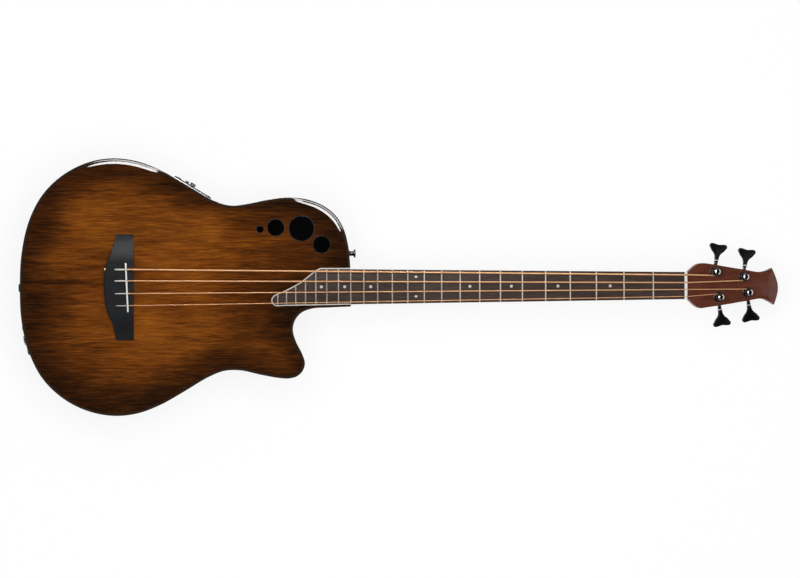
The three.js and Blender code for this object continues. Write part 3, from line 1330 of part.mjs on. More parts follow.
Object.entries(strapButtons).forEach(([name, button]) => {
  add(name, makeStrapButton(strapButtonPlace(button)), materials.steel);
});
add('jack_plate', makeJackPlate(), materials.blackPlastic);
add('output_jack', makeJack(), materials.steel);
add('preamp_panel', makePreampPanel(), materials.blackPlastic);
add('preamp_chassis', makeChassis(), materials.blackPlastic);
add('battery', makeBattery(), materials.blackPlastic);
add('volume_knob', makeKnob(), materials.blackPlastic, preamp).position.set(-KNOB_ALONG, KNOB_UP, 0);
sliderHeights.forEach((y, index) => {
  const slider = add(`tone_slider_${index + 1}`, makeSlider(), materials.blackPlastic, preamp);
  slider.position.set(-SLIDER_ALONG, y, 0);
});
add('tuner_button', makeTunerButton(), materials.blackPlastic, preamp).position.x = -BUTTON_ALONG;
add('tuner_display', makeDisplay(), materials.display, preamp);
add('pickup_lead', makePickupLead(), materials.rubber);
add('output_lead', makeOutputLead(), materials.rubber);

export default bass;
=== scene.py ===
# A round-backed acoustic bass guitar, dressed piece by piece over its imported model.
# Metres. X runs from the tail to the head, Y to the bass side and Z out of the top, and the
# guitar lies on its back. The neck meets the body at X = JOINT_X.

import math

import bmesh
import bpy
import numpy as np
from mathutils import Matrix, Vector
from mathutils.geometry import delaunay_2d_cdt


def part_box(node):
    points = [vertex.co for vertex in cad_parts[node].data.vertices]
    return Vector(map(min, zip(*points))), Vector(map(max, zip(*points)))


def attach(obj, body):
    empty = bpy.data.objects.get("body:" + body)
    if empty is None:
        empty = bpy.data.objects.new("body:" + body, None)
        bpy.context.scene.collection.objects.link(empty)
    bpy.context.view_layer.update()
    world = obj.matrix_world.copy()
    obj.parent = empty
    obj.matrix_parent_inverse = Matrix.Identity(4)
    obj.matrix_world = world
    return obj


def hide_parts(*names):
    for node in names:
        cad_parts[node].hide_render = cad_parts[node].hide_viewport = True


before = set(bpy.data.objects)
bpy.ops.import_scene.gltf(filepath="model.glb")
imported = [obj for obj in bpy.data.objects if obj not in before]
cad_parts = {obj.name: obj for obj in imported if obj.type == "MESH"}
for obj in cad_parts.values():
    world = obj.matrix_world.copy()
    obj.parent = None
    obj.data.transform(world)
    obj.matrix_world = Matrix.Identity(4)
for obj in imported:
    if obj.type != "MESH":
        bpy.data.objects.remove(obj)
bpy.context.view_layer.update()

# Bowl. The rounded back is moulded in one piece from black composite, with a fine pebbled
# skin outside and a ledge inside its mouth, to which the top is glued. The preamp, the jack,
# the strap buttons and the neck bolts go through it.

JOINT_X = 0.255
BODY_LENGTH = 0.517
HALF_BODY = 0.201
BOWL_DEPTH = 0.118
BOWL_WALL = 0.003
BOWL_FULLNESS = 2.2
REST_REACH = (0.130, 0.055)
LEDGE = (0.009, 0.005)
SEAT_GAP = 0.0003
TOP_Z = 0.1213
OUTLINE_STEPS = 8
CREASE = 38
MERGE_DISTANCE = 2e-6

body_outline_shares = [
    (0, -0.154), (0, 0), (-0.002, 0.184), (-0.008, 0.328), (-0.0205, 0.448), (-0.0426, 0.547),
    (-0.0774, 0.624), (-0.1277, 0.678), (-0.1896, 0.696), (-0.2515, 0.678), (-0.3095, 0.648),
    (-0.3588, 0.635), (-0.4072, 0.667), (-0.4913, 0.79), (-0.5764, 0.9154), (-0.648, 0.984),
    (-0.7215, 1.005), (-0.793, 0.974), (-0.8665, 0.8806), (-0.9284, 0.7313), (-0.971, 0.527),
    (-0.9942, 0.2736), (-1, 0), (-0.9952, -0.2587), (-0.9729, -0.5025), (-0.9323, -0.7065),
    (-0.8704, -0.8607), (-0.7988, -0.9562), (-0.7215, -0.9965), (-0.648, -0.98),
    (-0.5764, -0.913), (-0.5039, -0.809), (-0.4313, -0.6985), (-0.383, -0.6507),
    (-0.3346, -0.6468), (-0.2708, -0.6826), (-0.2166, -0.7075), (-0.1876, -0.711),
    (-0.1634, -0.6945), (-0.146, -0.6517), (-0.1393, -0.592), (-0.1489, -0.5124),
    (-0.1663, -0.4229), (-0.1754, -0.3333), (-0.1692, -0.2612), (-0.1499, -0.2015),
    (-0.1172, -0.1687), (-0.0677, -0.1607), (0, -0.154),
]


def curve_through(points, steps):
    """A smooth curve through the points, with some steps on each span."""
    points = [np.array(point, float) for point in points]
    ends = [2 * points[0] - points[1], *points, 2 * points[-1] - points[-2]]
    curve = []
    for before, here, there, after in zip(ends, ends[1:], ends[2:], ends[3:]):
        spans = [
            max(np.linalg.norm(b - a), 1e-9) ** 0.5
            for a, b in ((before, here), (here, there), (there, after))
        ]
        first, middle, last = spans
        leave = ((here - before) / first - (there - before) / (first + middle)
                 + (there - here) / middle) * middle
        arrive = ((there - here) / middle - (after - here) / (middle + last)
                  + (after - there) / last) * middle
        for step in range(steps):
            t = step / steps
            bend = (-3 * here + 3 * there - 2 * leave - arrive) * t ** 2
            turn = (2 * here - 2 * there + leave + arrive) * t ** 3
            curve.append(here + leave * t + bend + turn)
    curve.append(points[-1])
    return np.array(curve)


def inset(outline, distance):
    """A closed outline, counter-clockwise, moved inward by a distance."""
    arriving = outline - np.roll(outline, 1, axis=0)
    leaving = np.roll(outline, -1, axis=0) - outline
    arriving /= np.linalg.norm(arriving, axis=1)[:, None]
    leaving /= np.linalg.norm(leaving, axis=1)[:, None]
    total = arriving + leaving
    across = np.column_stack([-total[:, 1], total[:, 0]])
    across /= np.linalg.norm(across, axis=1)[:, None]
    lean = across[:, 1] * arriving[:, 0] - across[:, 0] * arriving[:, 1]
    return outline + across * (distance / lean)[:, None]


def on_body(x, y):
    """A place on the top, given in shares of the body's length and half width."""
    return JOINT_X + x * BODY_LENGTH, y * HALF_BODY


body_outline = curve_through([on_body(*share) for share in body_outline_shares], OUTLINE_STEPS)[:-1]


def at_height(outline, z):
    return np.column_stack([outline, np.full(len(outline), z)])


def bowl_ring(share, margin):
    """The bowl's wall at a share of its height, moved inward by a margin."""
    spread = (1 - (1 - share) ** BOWL_FULLNESS) ** (1 / BOWL_FULLNESS)
    length, width = (reach - margin for reach in REST_REACH)
    mouth = inset(body_outline, margin)
    angle = np.arctan2(mouth[:, 1] / width, mouth[:, 0] / length)
    foot = np.column_stack([length * np.cos(angle), width * np.sin(angle)])
    return at_height(foot + (mouth - foot) * spread, margin + share * (BOWL_DEPTH - margin))


def height_shares(steps, last=1.0):
    """Shares of the bowl's height, which lie closer together near its foot."""
    return [
        last * (1 - math.cos(math.pi / 2 * step / steps) ** (2 / BOWL_FULLNESS))
        for step in range(steps + 1)
    ]


def join_rows(form, here, there):
    """Faces between two closed rows of vertices."""
    for a, b, c, d in zip(here, here[1:] + here[:1], there[1:] + there[:1], there):
        form.faces.new((a, b, c, d))


def closed_skin(rings, around=False):
    """Rings of points joined by faces. Either the ends are capped, or the last ring meets the first."""
    form = bmesh.new()
    rows = [[form.verts.new(point) for point in ring] for ring in rings]
    for here, there in zip(rows, rows[1:]):
        join_rows(form, here, there)
    if around:
        join_rows(form, rows[-1], rows[0])
    else:
        form.faces.new(rows[0][::-1])
        form.faces.new(rows[-1])
    return form


def write_mesh(form, mesh):
    form.to_mesh(mesh)
    form.free()
    return mesh


def mark_creases(form, crease=CREASE):
    """Smooths every face, and keeps the edges sharp that turn by more than an angle."""
    for face in form.faces:
        face.smooth = True
    for edge in form.edges:
        edge.smooth = edge.is_manifold and edge.calc_face_angle() < math.radians(crease)


def settle(form, name, crease=CREASE):
    """Merges doubles, turns faces outward and marks creases, and makes the mesh."""
    bmesh.ops.remove_doubles(form, verts=form.verts, dist=MERGE_DISTANCE)
    bmesh.ops.recalc_face_normals(form, faces=form.faces)
    mark_creases(form, crease)
    return write_mesh(form, bpy.data.meshes.new(name))


def put(name, data):
    """A new object in the scene."""
    item = bpy.data.objects.new(name, data)
    bpy.context.scene.collection.objects.link(item)
    return item


def coat(piece, *finishes):
    """Gives a piece its finishes in place of any that it has."""
    piece.data.materials.clear()
    for finish in finishes:
        piece.data.materials.append(finish)


def new_piece(name, mesh, *finishes):
    piece = put(name, mesh)
    coat(piece, *finishes)
    return piece


def skinned(name, rings, *finishes, around=False):
    """A piece with a closed skin through rings of points."""
    return new_piece(name, settle(closed_skin(rings, around), name), *finishes)


def bake(piece):
    """Applies a piece's modifiers and marks its creases again."""
    bpy.context.view_layer.update()
    shaped = piece.evaluated_get(bpy.context.evaluated_depsgraph_get())
    mesh = bpy.data.meshes.new_from_object(shaped)
    piece.modifiers.clear()
    form = bmesh.new()
    form.from_mesh(mesh)
    mark_creases(form)
    write_mesh(form, mesh)
    mesh.name = piece.name
    piece.data = mesh


def combine(piece, operation, others):
    """Cuts other solids out of a piece or joins them to it, and drops them."""
    for other in others:
        step = piece.modifiers.new("combine", "BOOLEAN")
        step.operation = operation
        step.solver = "EXACT"
        step.object = other
    bake(piece)
    for other in others:
        bpy.data.objects.remove(other)


def carve(piece, *cutters):
    combine(piece, "DIFFERENCE", cutters)


def box_form(low, high, place=Matrix()):
    """A plain box between two corners."""
    form = bmesh.new()
    bmesh.ops.create_cube(form, size=1)
    middle = Matrix.Translation((Vector(high) + Vector(low)) / 2)
    size = Matrix.Diagonal((*(Vector(high) - Vector(low)), 1))
    bmesh.ops.transform(form, verts=form.verts, matrix=place @ middle @ size)
    return form


def block(low, high, place=Matrix()):
    """A plain box between two corners, for cutting."""
    return new_piece("cutter", settle(box_form(low, high, place), "cutter"))


def opening(size, floor, ceiling, place, middle=(0, 0), room=SEAT_GAP):
    """A box for cutting a way for something of a size, with some room on its four sides."""
    reach_x, reach_y = size[0] / 2 + room, size[1] / 2 + room
    x, y = middle
    return block((x - reach_x, y - reach_y, floor), (x + reach_x, y + reach_y, ceiling), place)


def hoop(radius, height, place, sides):
    """A ring of points round Z, put in its place."""
    angles = [2 * math.pi * side / sides for side in range(sides)]
    return [place @ Vector((radius * math.cos(a), radius * math.sin(a), height)) for a in angles]


def turned(profile, place=Matrix(), sides=40, name="cutter"):
    """A solid turned round Z from a profile of (radius, height) points, as a mesh."""
    return settle(closed_skin([hoop(*point, place, sides) for point in profile]), name)


def rod(radius, floor, ceiling, place, sides=40):
    return new_piece("cutter", turned([(radius, floor), (radius, ceiling)], place, sides))


def side_frame(x, y, z, outward):
    """The frame of a piece in the bowl's side: X along it, Y up and Z out of the body."""
    return Matrix((
        (-math.sin(outward), 0, math.cos(outward), x),
        (math.cos(outward), 0, math.sin(outward), y),
        (0, 1, 0, z),
        (0, 0, 0, 1),
    ))


PREAMP_SIZE = (0.066, 0.040)
PREAMP_SHARES = (-0.47582, 0.78308)
PREAMP_LEAN = 1.5886
PREAMP_BELOW_TOP = 0.007
CHASSIS_SIZE = (0.057, 0.031)
CHASSIS_DEPTH = 0.044
PREAMP_FRAME = side_frame(
    *on_body(*PREAMP_SHARES), TOP_Z - PREAMP_BELOW_TOP - PREAMP_SIZE[1] / 2,
    math.atan2(BODY_LENGTH, PREAMP_LEAN * HALF_BODY),
)
JACK_SHARES = (-0.98066, -0.40547)
JACK_LEAN = 0.08833
JACK_BELOW_TOP = 0.036
JACK_PROUD = 0.0026
JACK_BORE_DEPTH = 0.040
BARREL_RADIUS = 0.005
PAST_WALL = 0.006
jack_outward = math.pi + math.atan2(JACK_LEAN * BODY_LENGTH, HALF_BODY)
jack_x, jack_y = on_body(*JACK_SHARES)
JACK_FRAME = side_frame(
    jack_x + math.cos(jack_outward) * JACK_PROUD, jack_y + math.sin(jack_outward) * JACK_PROUD,
    TOP_Z - JACK_BELOW_TOP, jack_outward,
)

lining_last = 1 - sum(LEDGE) / (BOWL_DEPTH - BOWL_WALL)
ledge_ring = inset(body_outline, LEDGE[0])
bowl = skinned("bowl_shell", [
    *(bowl_ring(share, BOWL_WALL) for share in height_shares(14, lining_last)),
    at_height(ledge_ring, BOWL_DEPTH - LEDGE[1]),
    at_height(ledge_ring, BOWL_DEPTH),
    *(bowl_ring(share, 0) for share in reversed(height_shares(22))),
])
carve(
    bowl,
    opening(CHASSIS_SIZE, -CHASSIS_DEPTH, PAST_WALL, PREAMP_FRAME),
    rod(BARREL_RADIUS + SEAT_GAP, -JACK_BORE_DEPTH, PAST_WALL, JACK_FRAME),
)


def new_finish(name, color, roughness, metallic=0.0, specular=0.5, clear_coat=(0.0, 0.03)):
    """A material, the tree it sits in and its Principled shader, set to plain values."""
    finish = bpy.data.materials.new(name)
    finish.use_nodes = True
    shader = finish.node_tree.nodes["Principled BSDF"]
    for socket, value in (
        ("Base Color", (*color, 1)), ("Roughness", roughness), ("Metallic", metallic),
        ("Specular IOR Level", specular), ("Coat Weight", clear_coat[0]), ("Coat Roughness", clear_coat[1]),
    ):
        shader.inputs[socket].default_value = value
    return finish, finish.node_tree, shader


def wire(tree, kind, inputs=None, **settings):
    """A shader node with its settings, and values or links on its inputs."""
    node = tree.nodes.new(kind)
    for setting, value in settings.items():
        setattr(node, setting, value)
    for socket, value in (inputs or {}).items():
        if isinstance(value, bpy.types.NodeSocket):
            tree.links.new(value, node.inputs[socket])
        else:
            node.inputs[socket].default_value = value
    return node


def object_place(tree):
    return wire(tree, "ShaderNodeTexCoord").outputs["Object"]


def reckon(tree, operation, *values):
    """What an operation makes of values and links."""
    return wire(tree, "ShaderNodeMath", dict(enumerate(values)), operation=operation).outputs[0]


def noise(tree, place, scale, detail, roughness=0.5):
    """Noise over a surface, as a value and as a colour."""
    return wire(tree, "ShaderNodeTexNoise", {
        "Vector": place, "Scale": scale, "Detail": detail, "Roughness": roughness,
    }).outputs


def shifted(tree, value, middle, spread):
    """A middle value that noise moves to either side."""
    return reckon(tree, "MULTIPLY_ADD", reckon(tree, "SUBTRACT", value, 0.5), spread, middle)


def bump(tree, shader, height, depth, strength, sunk=False):
    """Raises a shader's surface where a height is high, or sinks it there."""
    relief = wire(tree, "ShaderNodeBump", {
        "Height": height, "Distance": depth, "Strength": strength,
    }, invert=sunk)
    tree.links.new(relief.outputs[0], shader.inputs["Normal"])


def effect(name, inputs, outputs):
    """A shader node group with its inputs and outputs, empty but for them."""
    tree = bpy.data.node_groups.new(name, "ShaderNodeTree")
    for label, value in inputs.items():
        kind = "NodeSocketVector" if value is None else "NodeSocketFloat"
        socket = tree.interface.new_socket(label, in_out="INPUT", socket_type=kind)
        if value is not None:
            socket.default_value = value
    for label in outputs:
        tree.interface.new_socket(label, in_out="OUTPUT", socket_type="NodeSocketFloat")
    return tree, tree.nodes.new("NodeGroupInput").outputs, tree.nodes.new("NodeGroupOutput").inputs


# Pebbled skin: a fine uneven bump, and a roughness that varies a little.
pebbled_skin, given, made = effect(
    "pebbled_skin",
    {"Place": None, "Grain Size": 0.0012, "Roughness": 0.4, "Spread": 0.1}, ("Height", "Roughness"),
)
frequency = reckon(pebbled_skin, "DIVIDE", 1.0, given["Grain Size"])
pebbles = noise(pebbled_skin, given["Place"], frequency, 2.0, 0.6)[0]
smears = noise(pebbled_skin, given["Place"], 22.0, 3.0, 0.6)[0]
smears = shifted(pebbled_skin, smears, given["Roughness"], given["Spread"])
pebbled_skin.links.new(pebbles, made["Height"])
pebbled_skin.links.new(smears, made["Roughness"])


def pebble(tree, shader, size, depth, roughness, spread):
    """Gives a shader the pebbled skin at one grain size."""
    skin = wire(tree, "ShaderNodeGroup", {
        "Place": object_place(tree), "Grain Size": size, "Roughness": roughness, "Spread": spread,
    }, node_tree=pebbled_skin).outputs
    bump(tree, shader, skin["Height"], depth, 0.6)
    tree.links.new(skin["Roughness"], shader.inputs["Roughness"])


composite, tree, shader = new_finish("black_composite", (0.011, 0.011, 0.012), 0.32)
pebble(tree, shader, 0.0022, 0.0003, 0.34, 0.14)
coat(bowl, composite)
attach(bowl, "instrument")
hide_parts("bowl")

# Top. A thin wooden plate with fine straight grain along the strings, stained from amber in
# the middle to nearly black at its edge and finished in gloss. Its outer band falls away a
# little, as the real one is sanded round, and four round holes lie in the upper bout.

ROLL_WIDTH = 0.0125
ROLL_RADIUS = 0.030
LEAST_ROLL = 0.15
JOINT_FADE = (0.034, 0.05)
WAIST_SPAN = (0.0625, 0.0925)
WAIST_FADE = 0.03
FLAT_MARGIN = 0.001
EDGE_WIDTH = 0.004
TOP_UNDERSIDE = BOWL_DEPTH + SEAT_GAP
LARGEST_HOLE_RADIUS = 0.0205
sound_hole_shares = [
    (-0.2737, 0.4488, 0.307), (-0.2259, 0.4627, 0.683), (-0.148, 0.4547, 1), (-0.0878, 0.3294, 0.698),
]
sound_holes = [(*on_body(x, y), radius * LARGEST_HOLE_RADIUS) for x, y, radius in sound_hole_shares]


def circle(x, y, radius, sides):
    angles = np.arange(sides) / sides * 2 * math.pi
    return np.column_stack([x + radius * np.cos(angles), y + radius * np.sin(angles)])


def distance_to(outline, points):
    """How far points lie from a closed outline."""
    starts = outline[None, :, :]
    runs = np.roll(outline, -1, axis=0)[None, :, :] - starts
    nearest = np.full(len(points), np.inf)
    for first in range(0, len(points), 2000):
        part = points[first:first + 2000, None, :]
        along = ((part - starts) * runs).sum(2) / (runs ** 2).sum(2)
        foot = starts + runs * np.clip(along, 0, 1)[:, :, None]
        nearest[first:first + 2000] = np.sqrt(((part - foot) ** 2).sum(2)).min(1)
    return nearest


def inside(outline, points):
    """Which points lie inside a closed outline."""
    x, y = points[:, 0][:, None], points[:, 1][:, None]
    ax, ay = outline[:, 0][None], outline[:, 1][None]
    bx, by = np.roll(outline, -1, axis=0)[:, 0][None], np.roll(outline, -1, axis=0)[:, 1][None]
    crosses = (ay > y) != (by > y)
    with np.errstate(divide="ignore", invalid="ignore"):
        at = ax + (y - ay) / (by - ay) * (bx - ax)
    return (crosses & (x < at)).sum(1) % 2 == 1


def filled(outline, holes, spacing):
    """A flat sheet of triangles inside an outline and outside its holes: points and triangles."""
    low, high = outline.min(0), outline.max(0)
    grid_x, grid_y = np.meshgrid(
        np.arange(low[0], high[0], spacing), np.arange(low[1], high[1], spacing),
    )
    grid_x[1::2] += spacing / 2
    grid = np.column_stack([grid_x.ravel(), grid_y.ravel()])
    keep = inside(outline, grid) & (distance_to(outline, grid) > spacing * 0.6)
    for hole in holes:
        keep &= ~inside(hole, grid) & (distance_to(hole, grid) > spacing * 0.5)
    loops = [outline, *holes]
    points = np.vstack([*loops, grid[keep]])
    edges = []
    start = 0
    for loop in loops:
        edges += [(start + i, start + (i + 1) % len(loop)) for i in range(len(loop))]
        start += len(loop)
    found = delaunay_2d_cdt([Vector(point) for point in points], edges, [], 1, 1e-9)
    sheet = np.array([tuple(vert) for vert in found[0]])
    triangles = np.array([tuple(face) for face in found[2]])
    middles = sheet[triangles].mean(1)
    keep = inside(outline, middles)
    for hole in holes:
        keep &= ~inside(hole, middles)
    return sheet, triangles[keep]


def lay_twice(form, sheet, triangles, tops, floor):
    """A sheet laid at a height for each point, and again face down on a floor."""
    upper = [form.verts.new((x, y, z)) for (x, y), z in zip(sheet, tops)]
    lower = [form.verts.new((x, y, floor)) for x, y in sheet]
    for a, b, c in triangles:
        form.faces.new((upper[a], upper[b], upper[c]))
        form.faces.new((lower[a], lower[c], lower[b]))
    return upper, lower


def smoothed(share):
    """A share from 0 to 1 that starts and ends gently."""
    return share * share * (3 - 2 * share)


def roll_drop(distance):
    """How far the full roll lies below the flat top, at a distance from the body's outline."""
    reach = np.clip(ROLL_WIDTH - distance, 0, None)
    return ROLL_RADIUS - np.sqrt(ROLL_RADIUS ** 2 - reach ** 2)


def roll_share(points):
    """How much of the roll there is at a place: it dies away under the fretboard and at the waist."""
    from_joint = np.hypot(points[:, 0] - JOINT_X, points[:, 1])
    away = np.clip((from_joint - JOINT_FADE[0]) / JOINT_FADE[1], 0, 1)
    beside = np.clip((np.abs(points[:, 0] - WAIST_SPAN[0]) - WAIST_SPAN[1]) / WAIST_FADE, 0, 1)
    away = np.where(points[:, 1] > 0, np.minimum(away, beside), away)
    return LEAST_ROLL + (1 - LEAST_ROLL) * smoothed(away)


def rolled(distance, drop):
    """The body's outline at a distance inward, let down by the roll's share of a drop."""
    ring = inset(body_outline, distance)
    return np.column_stack([ring, TOP_Z - roll_share(ring) * drop])


def row_at(form, outline, z):
    return [form.verts.new((x, y, z)) for x, y in outline]


roll_steps = np.linspace(EDGE_WIDTH + SEAT_GAP, ROLL_WIDTH + FLAT_MARGIN, 11)
roll_rings = [rolled(distance, roll_drop(distance)) for distance in roll_steps]
flat_outline = roll_rings[-1][:, :2]
hole_loops = [circle(*hole, 72) for hole in sound_holes]
sheet, triangles = filled(flat_outline, hole_loops, 0.004)
form = bmesh.new()
rows = [[form.verts.new(point) for point in ring] for ring in roll_rings]
for here, there in zip(rows, rows[1:]):
    join_rows(form, here, there)
lay_twice(form, sheet, triangles, [TOP_Z] * len(sheet), TOP_UNDERSIDE)
foot = row_at(form, roll_rings[0][:, :2], TOP_UNDERSIDE)
join_rows(form, rows[0], foot)
join_rows(form, foot, row_at(form, flat_outline, TOP_UNDERSIDE))
for loop in hole_loops:
    join_rows(form, row_at(form, loop, TOP_Z), row_at(form, loop, TOP_UNDERSIDE))
top = new_piece("top_plate", settle(form, "top_plate"))
places = np.array([vert.co for vert in top.data.vertices])
from_edge = top.data.attributes.new("from_edge", "FLOAT", "POINT")
from_edge.data.foreach_set("value", distance_to(body_outline, places[:, :2]).astype(np.float32))


def as_vector(tree, x, y, z):
    return wire(tree, "ShaderNodeCombineXYZ", {0: x, 1: y, 2: z}).outputs[0]


def on_vectors(tree, operation, *values):
    """What an operation makes of vectors."""
    return wire(tree, "ShaderNodeVectorMath", dict(enumerate(values)), operation=operation).outputs[0]


def wandering(tree, place, scale, detail, reach):
    """A place that noise moves about by up to half a reach."""
    lean = on_vectors(tree, "SUBTRACT", noise(tree, place, scale, detail)["Color"], (0.5, 0.5, 0.5))
    return on_vectors(tree, "ADD", place, on_vectors(tree, "MULTIPLY", lean, reach))


def stretched(tree, place, length, width, detail):
    """Noise drawn out along X to a length and a width."""
    drawn = on_vectors(tree, "DIVIDE", place, as_vector(tree, length, width, width))
    return noise(tree, drawn, 1.0, detail, 0.6)[0]


def spread_over(tree, value, low, high, to_low=0.0, to_high=1.0, smooth=False):
    """A value's way from low to high, spread over another range."""
    kind = "SMOOTHSTEP" if smooth else "LINEAR"
    return wire(tree, "ShaderNodeMapRange", {
        0: value, 1: low, 2: high, 3: to_low, 4: to_high,
    }, interpolation_type=kind).outputs[0]


# Wood grain: fine fibres, broad bands and dark pores, all drawn out along X.
wood_grain, given, made = effect(
    "wood_grain",
    {"Place": None, "Fibre Width": 0.0012, "Fibre Length": 0.045, "Waver": 0.004},
    ("Fibre", "Band", "Pore"),
)
bent = wandering(wood_grain, given["Place"], 7.0, 1.0, given["Waver"])
for label, long, wide, detail, reach in (
    ("Fibre", 1.0, 1.0, 3.0, (0.0, 1.0)), ("Band", 3.5, 9.0, 2.0, (0.0, 1.0)),
    ("Pore", 0.22, 0.4, 1.0, (0.6, 0.72)),
):
    length = reckon(wood_grain, "MULTIPLY", given["Fibre Length"], long)
    width = reckon(wood_grain, "MULTIPLY", given["Fibre Width"], wide)
    drawn = stretched(wood_grain, bent, length, width, detail)
    wood_grain.links.new(spread_over(wood_grain, drawn, *reach), made[label])


def grain(tree, width, length, waver):
    """The wood grain placed in a material."""
    return wire(tree, "ShaderNodeGroup", {
        "Place": object_place(tree), "Fibre Width": width, "Fibre Length": length, "Waver": waver,
    }, node_tree=wood_grain).outputs


def tones(tree, value, stops):
    """A colour ramp over (position, colour) stops."""
    ramp = wire(tree, "ShaderNodeValToRGB", {0: value})
    points = ramp.color_ramp.elements
    while len(points) < len(stops):
        points.new(0.5)
    for point, (position, color) in zip(points, stops):
        point.position = position
        point.color = (*color, 1)
    return ramp.outputs[0]


def mixed(tree, factor, *colors):
    """A colour between two, each of them plain or a link."""
    a, b = (color if isinstance(color, bpy.types.NodeSocket) else (*color, 1) for color in colors)
    return wire(tree, "ShaderNodeMix", {0: factor, 6: a, 7: b}, data_type="RGBA").outputs[2]


def tint(tree, shader, color):
    tree.links.new(color, shader.inputs["Base Color"])


sunburst, tree, shader = new_finish(
    "gloss_sunburst", (0.2, 0.07, 0.01), 0.4, specular=0.0, clear_coat=(1.0, 0.04),
)
streaks = grain(tree, 0.0019, 0.026, 0.0012)
edge_distance = wire(tree, "ShaderNodeAttribute", attribute_name="from_edge").outputs["Fac"]
tone = spread_over(tree, edge_distance, 0.004, 0.06, 0.2, 0.56, smooth=True)
# Where the stain lies darker or lighter: X, Y, half length, half width and by how much
stain_patches = [
    (-0.140, 0.103, 0.045, 0.045, 0.12), (-0.023, 0.084, 0.1, 0.055, 0.11),
    (0.037, 0.092, 0.034, 0.03, 0.1), (0.004, 0.014, 0.085, 0.045, 0.14),
    (-0.195, 0.009, 0.075, 0.0055, -0.3), (-0.118, -0.083, 0.07, 0.065, 0.08),
    (0.005, -0.071, 0.06, 0.034, 0.1), (-0.066, -0.056, 0.04, 0.042, 0.16),
    (-0.208, -0.035, 0.042, 0.06, -0.22), (0.1, -0.055, 0.055, 0.04, -0.13),
    (-0.212, 0.087, 0.035, 0.035, -0.1), (-0.176, -0.125, 0.075, 0.045, -0.14),
    (-0.1, -0.165, 0.11, 0.035, -0.14), (0.063, 0.118, 0.07, 0.026, 0.18),
    (0.2, 0.0, 0.085, 0.2, -0.2), (0.115, -0.005, 0.09, 0.05, -0.16),
    (0.16, -0.1, 0.06, 0.05, 0.12), (0.13, 0.06, 0.05, 0.035, -0.06),
]
place = object_place(tree)
smudged = wandering(tree, place, 9.0, 2.0, (0.06, 0.025, 0.0))
for x, y, length, width, strength in stain_patches:
    patch = wire(tree, "ShaderNodeMapping", {
        "Vector": smudged, "Location": (-x / length, -y / width, 0.0),
        "Scale": (1 / length, 1 / width, 0.0),
    })
    reach = wire(tree, "ShaderNodeVectorMath", {0: patch.outputs[0]}, operation="LENGTH").outputs["Value"]
    tone = reckon(tree, "ADD", tone, spread_over(tree, reach, 0.15, 1.25, strength, 0.0, smooth=True))
for layer, low, high, swing in (
    (streaks["Band"], 0.3, 0.7, 0.08), (stretched(tree, place, 0.065, 0.004, 2.0), 0.3, 0.7, 0.08),
    (streaks["Fibre"], 0.32, 0.68, 0.15),
):
    tone = reckon(tree, "ADD", tone, spread_over(tree, layer, low, high, -swing, swing))
stained = tones(tree, tone, [
    (0.0, (0.014, 0.0055, 0.0025)), (0.2, (0.038, 0.0115, 0.0028)), (0.42, (0.09, 0.025, 0.0036)),
    (0.62, (0.186, 0.051, 0.0058)), (0.82, (0.305, 0.09, 0.0085)), (1.0, (0.44, 0.135, 0.011)),
])
pores = reckon(tree, "MULTIPLY", streaks["Pore"], 0.35)
tint(tree, shader, mixed(tree, pores, stained, (0.02, 0.006, 0.002)))
coat(top, sunburst)
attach(top, "instrument")
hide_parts("soundboard")

# Rolled edge. A strip of dark brown lacquered wood runs round the top and carries its slope on
# over the bowl's rim in one smooth roll. It is glued to the bowl's ledge.

EDGE_NOSE = (0.0022, 0.00055)
EDGE_SHOULDER_DROP = 0.0019
EDGE_SIDE_DROP = 0.0029


def bezier(points, steps):
    """A Bezier curve through its first and last points."""
    curve = []
    for step in range(steps + 1):
        level = [np.array(point, float) for point in points]
        while len(level) > 1:
            level = [a + (b - a) * step / steps for a, b in zip(level, level[1:])]
        curve.append(level[0])
    return curve


edge_drop = roll_drop(EDGE_WIDTH)
edge_roll = bezier([
    (EDGE_WIDTH, edge_drop), (EDGE_NOSE[0], edge_drop + EDGE_NOSE[1]),
    (0, EDGE_SHOULDER_DROP), (0, EDGE_SIDE_DROP),
], 9)
edge = skinned("rolled_edge", [
    *(rolled(distance, drop) for distance, drop in edge_roll),
    at_height(body_outline, TOP_UNDERSIDE),
    at_height(inset(body_outline, EDGE_WIDTH), TOP_UNDERSIDE),
], around=True)

# Handling: broad faint smears that change a gloss surface's roughness.
handling, given, made = effect(
    "handling", {"Place": None, "Smear Size": 0.05, "Roughness": 0.1, "Spread": 0.1}, ("Roughness",),
)
frequency = reckon(handling, "DIVIDE", 1.0, given["Smear Size"])
smears = noise(handling, given["Place"], frequency, 4.0, 0.65)[0]
smears = shifted(handling, smears, given["Roughness"], given["Spread"])
handling.links.new(smears, made["Roughness"])


def handle(tree, shader, size, roughness, spread):
    """Gives a shader the smeared roughness of a handled surface."""
    group = wire(tree, "ShaderNodeGroup", {
        "Place": object_place(tree), "Smear Size": size, "Roughness": roughness, "Spread": spread,
    }, node_tree=handling)
    tree.links.new(group.outputs["Roughness"], shader.inputs["Roughness"])


def lacquer(name, color):
    """A gloss lacquer."""
    finish, tree, shader = new_finish(name, color, 0.06, specular=0.35)
    handle(tree, shader, 0.03, 0.06, 0.04)
    return finish


coat(edge, lacquer("brown_lacquer", (0.033, 0.019, 0.011)))
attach(edge, "instrument")
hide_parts("top_edge")

# Sound-hole rings. Each of the four holes is lined with a thin turned ring of dark wood,
# pressed in flush, with both of its upper edges eased.

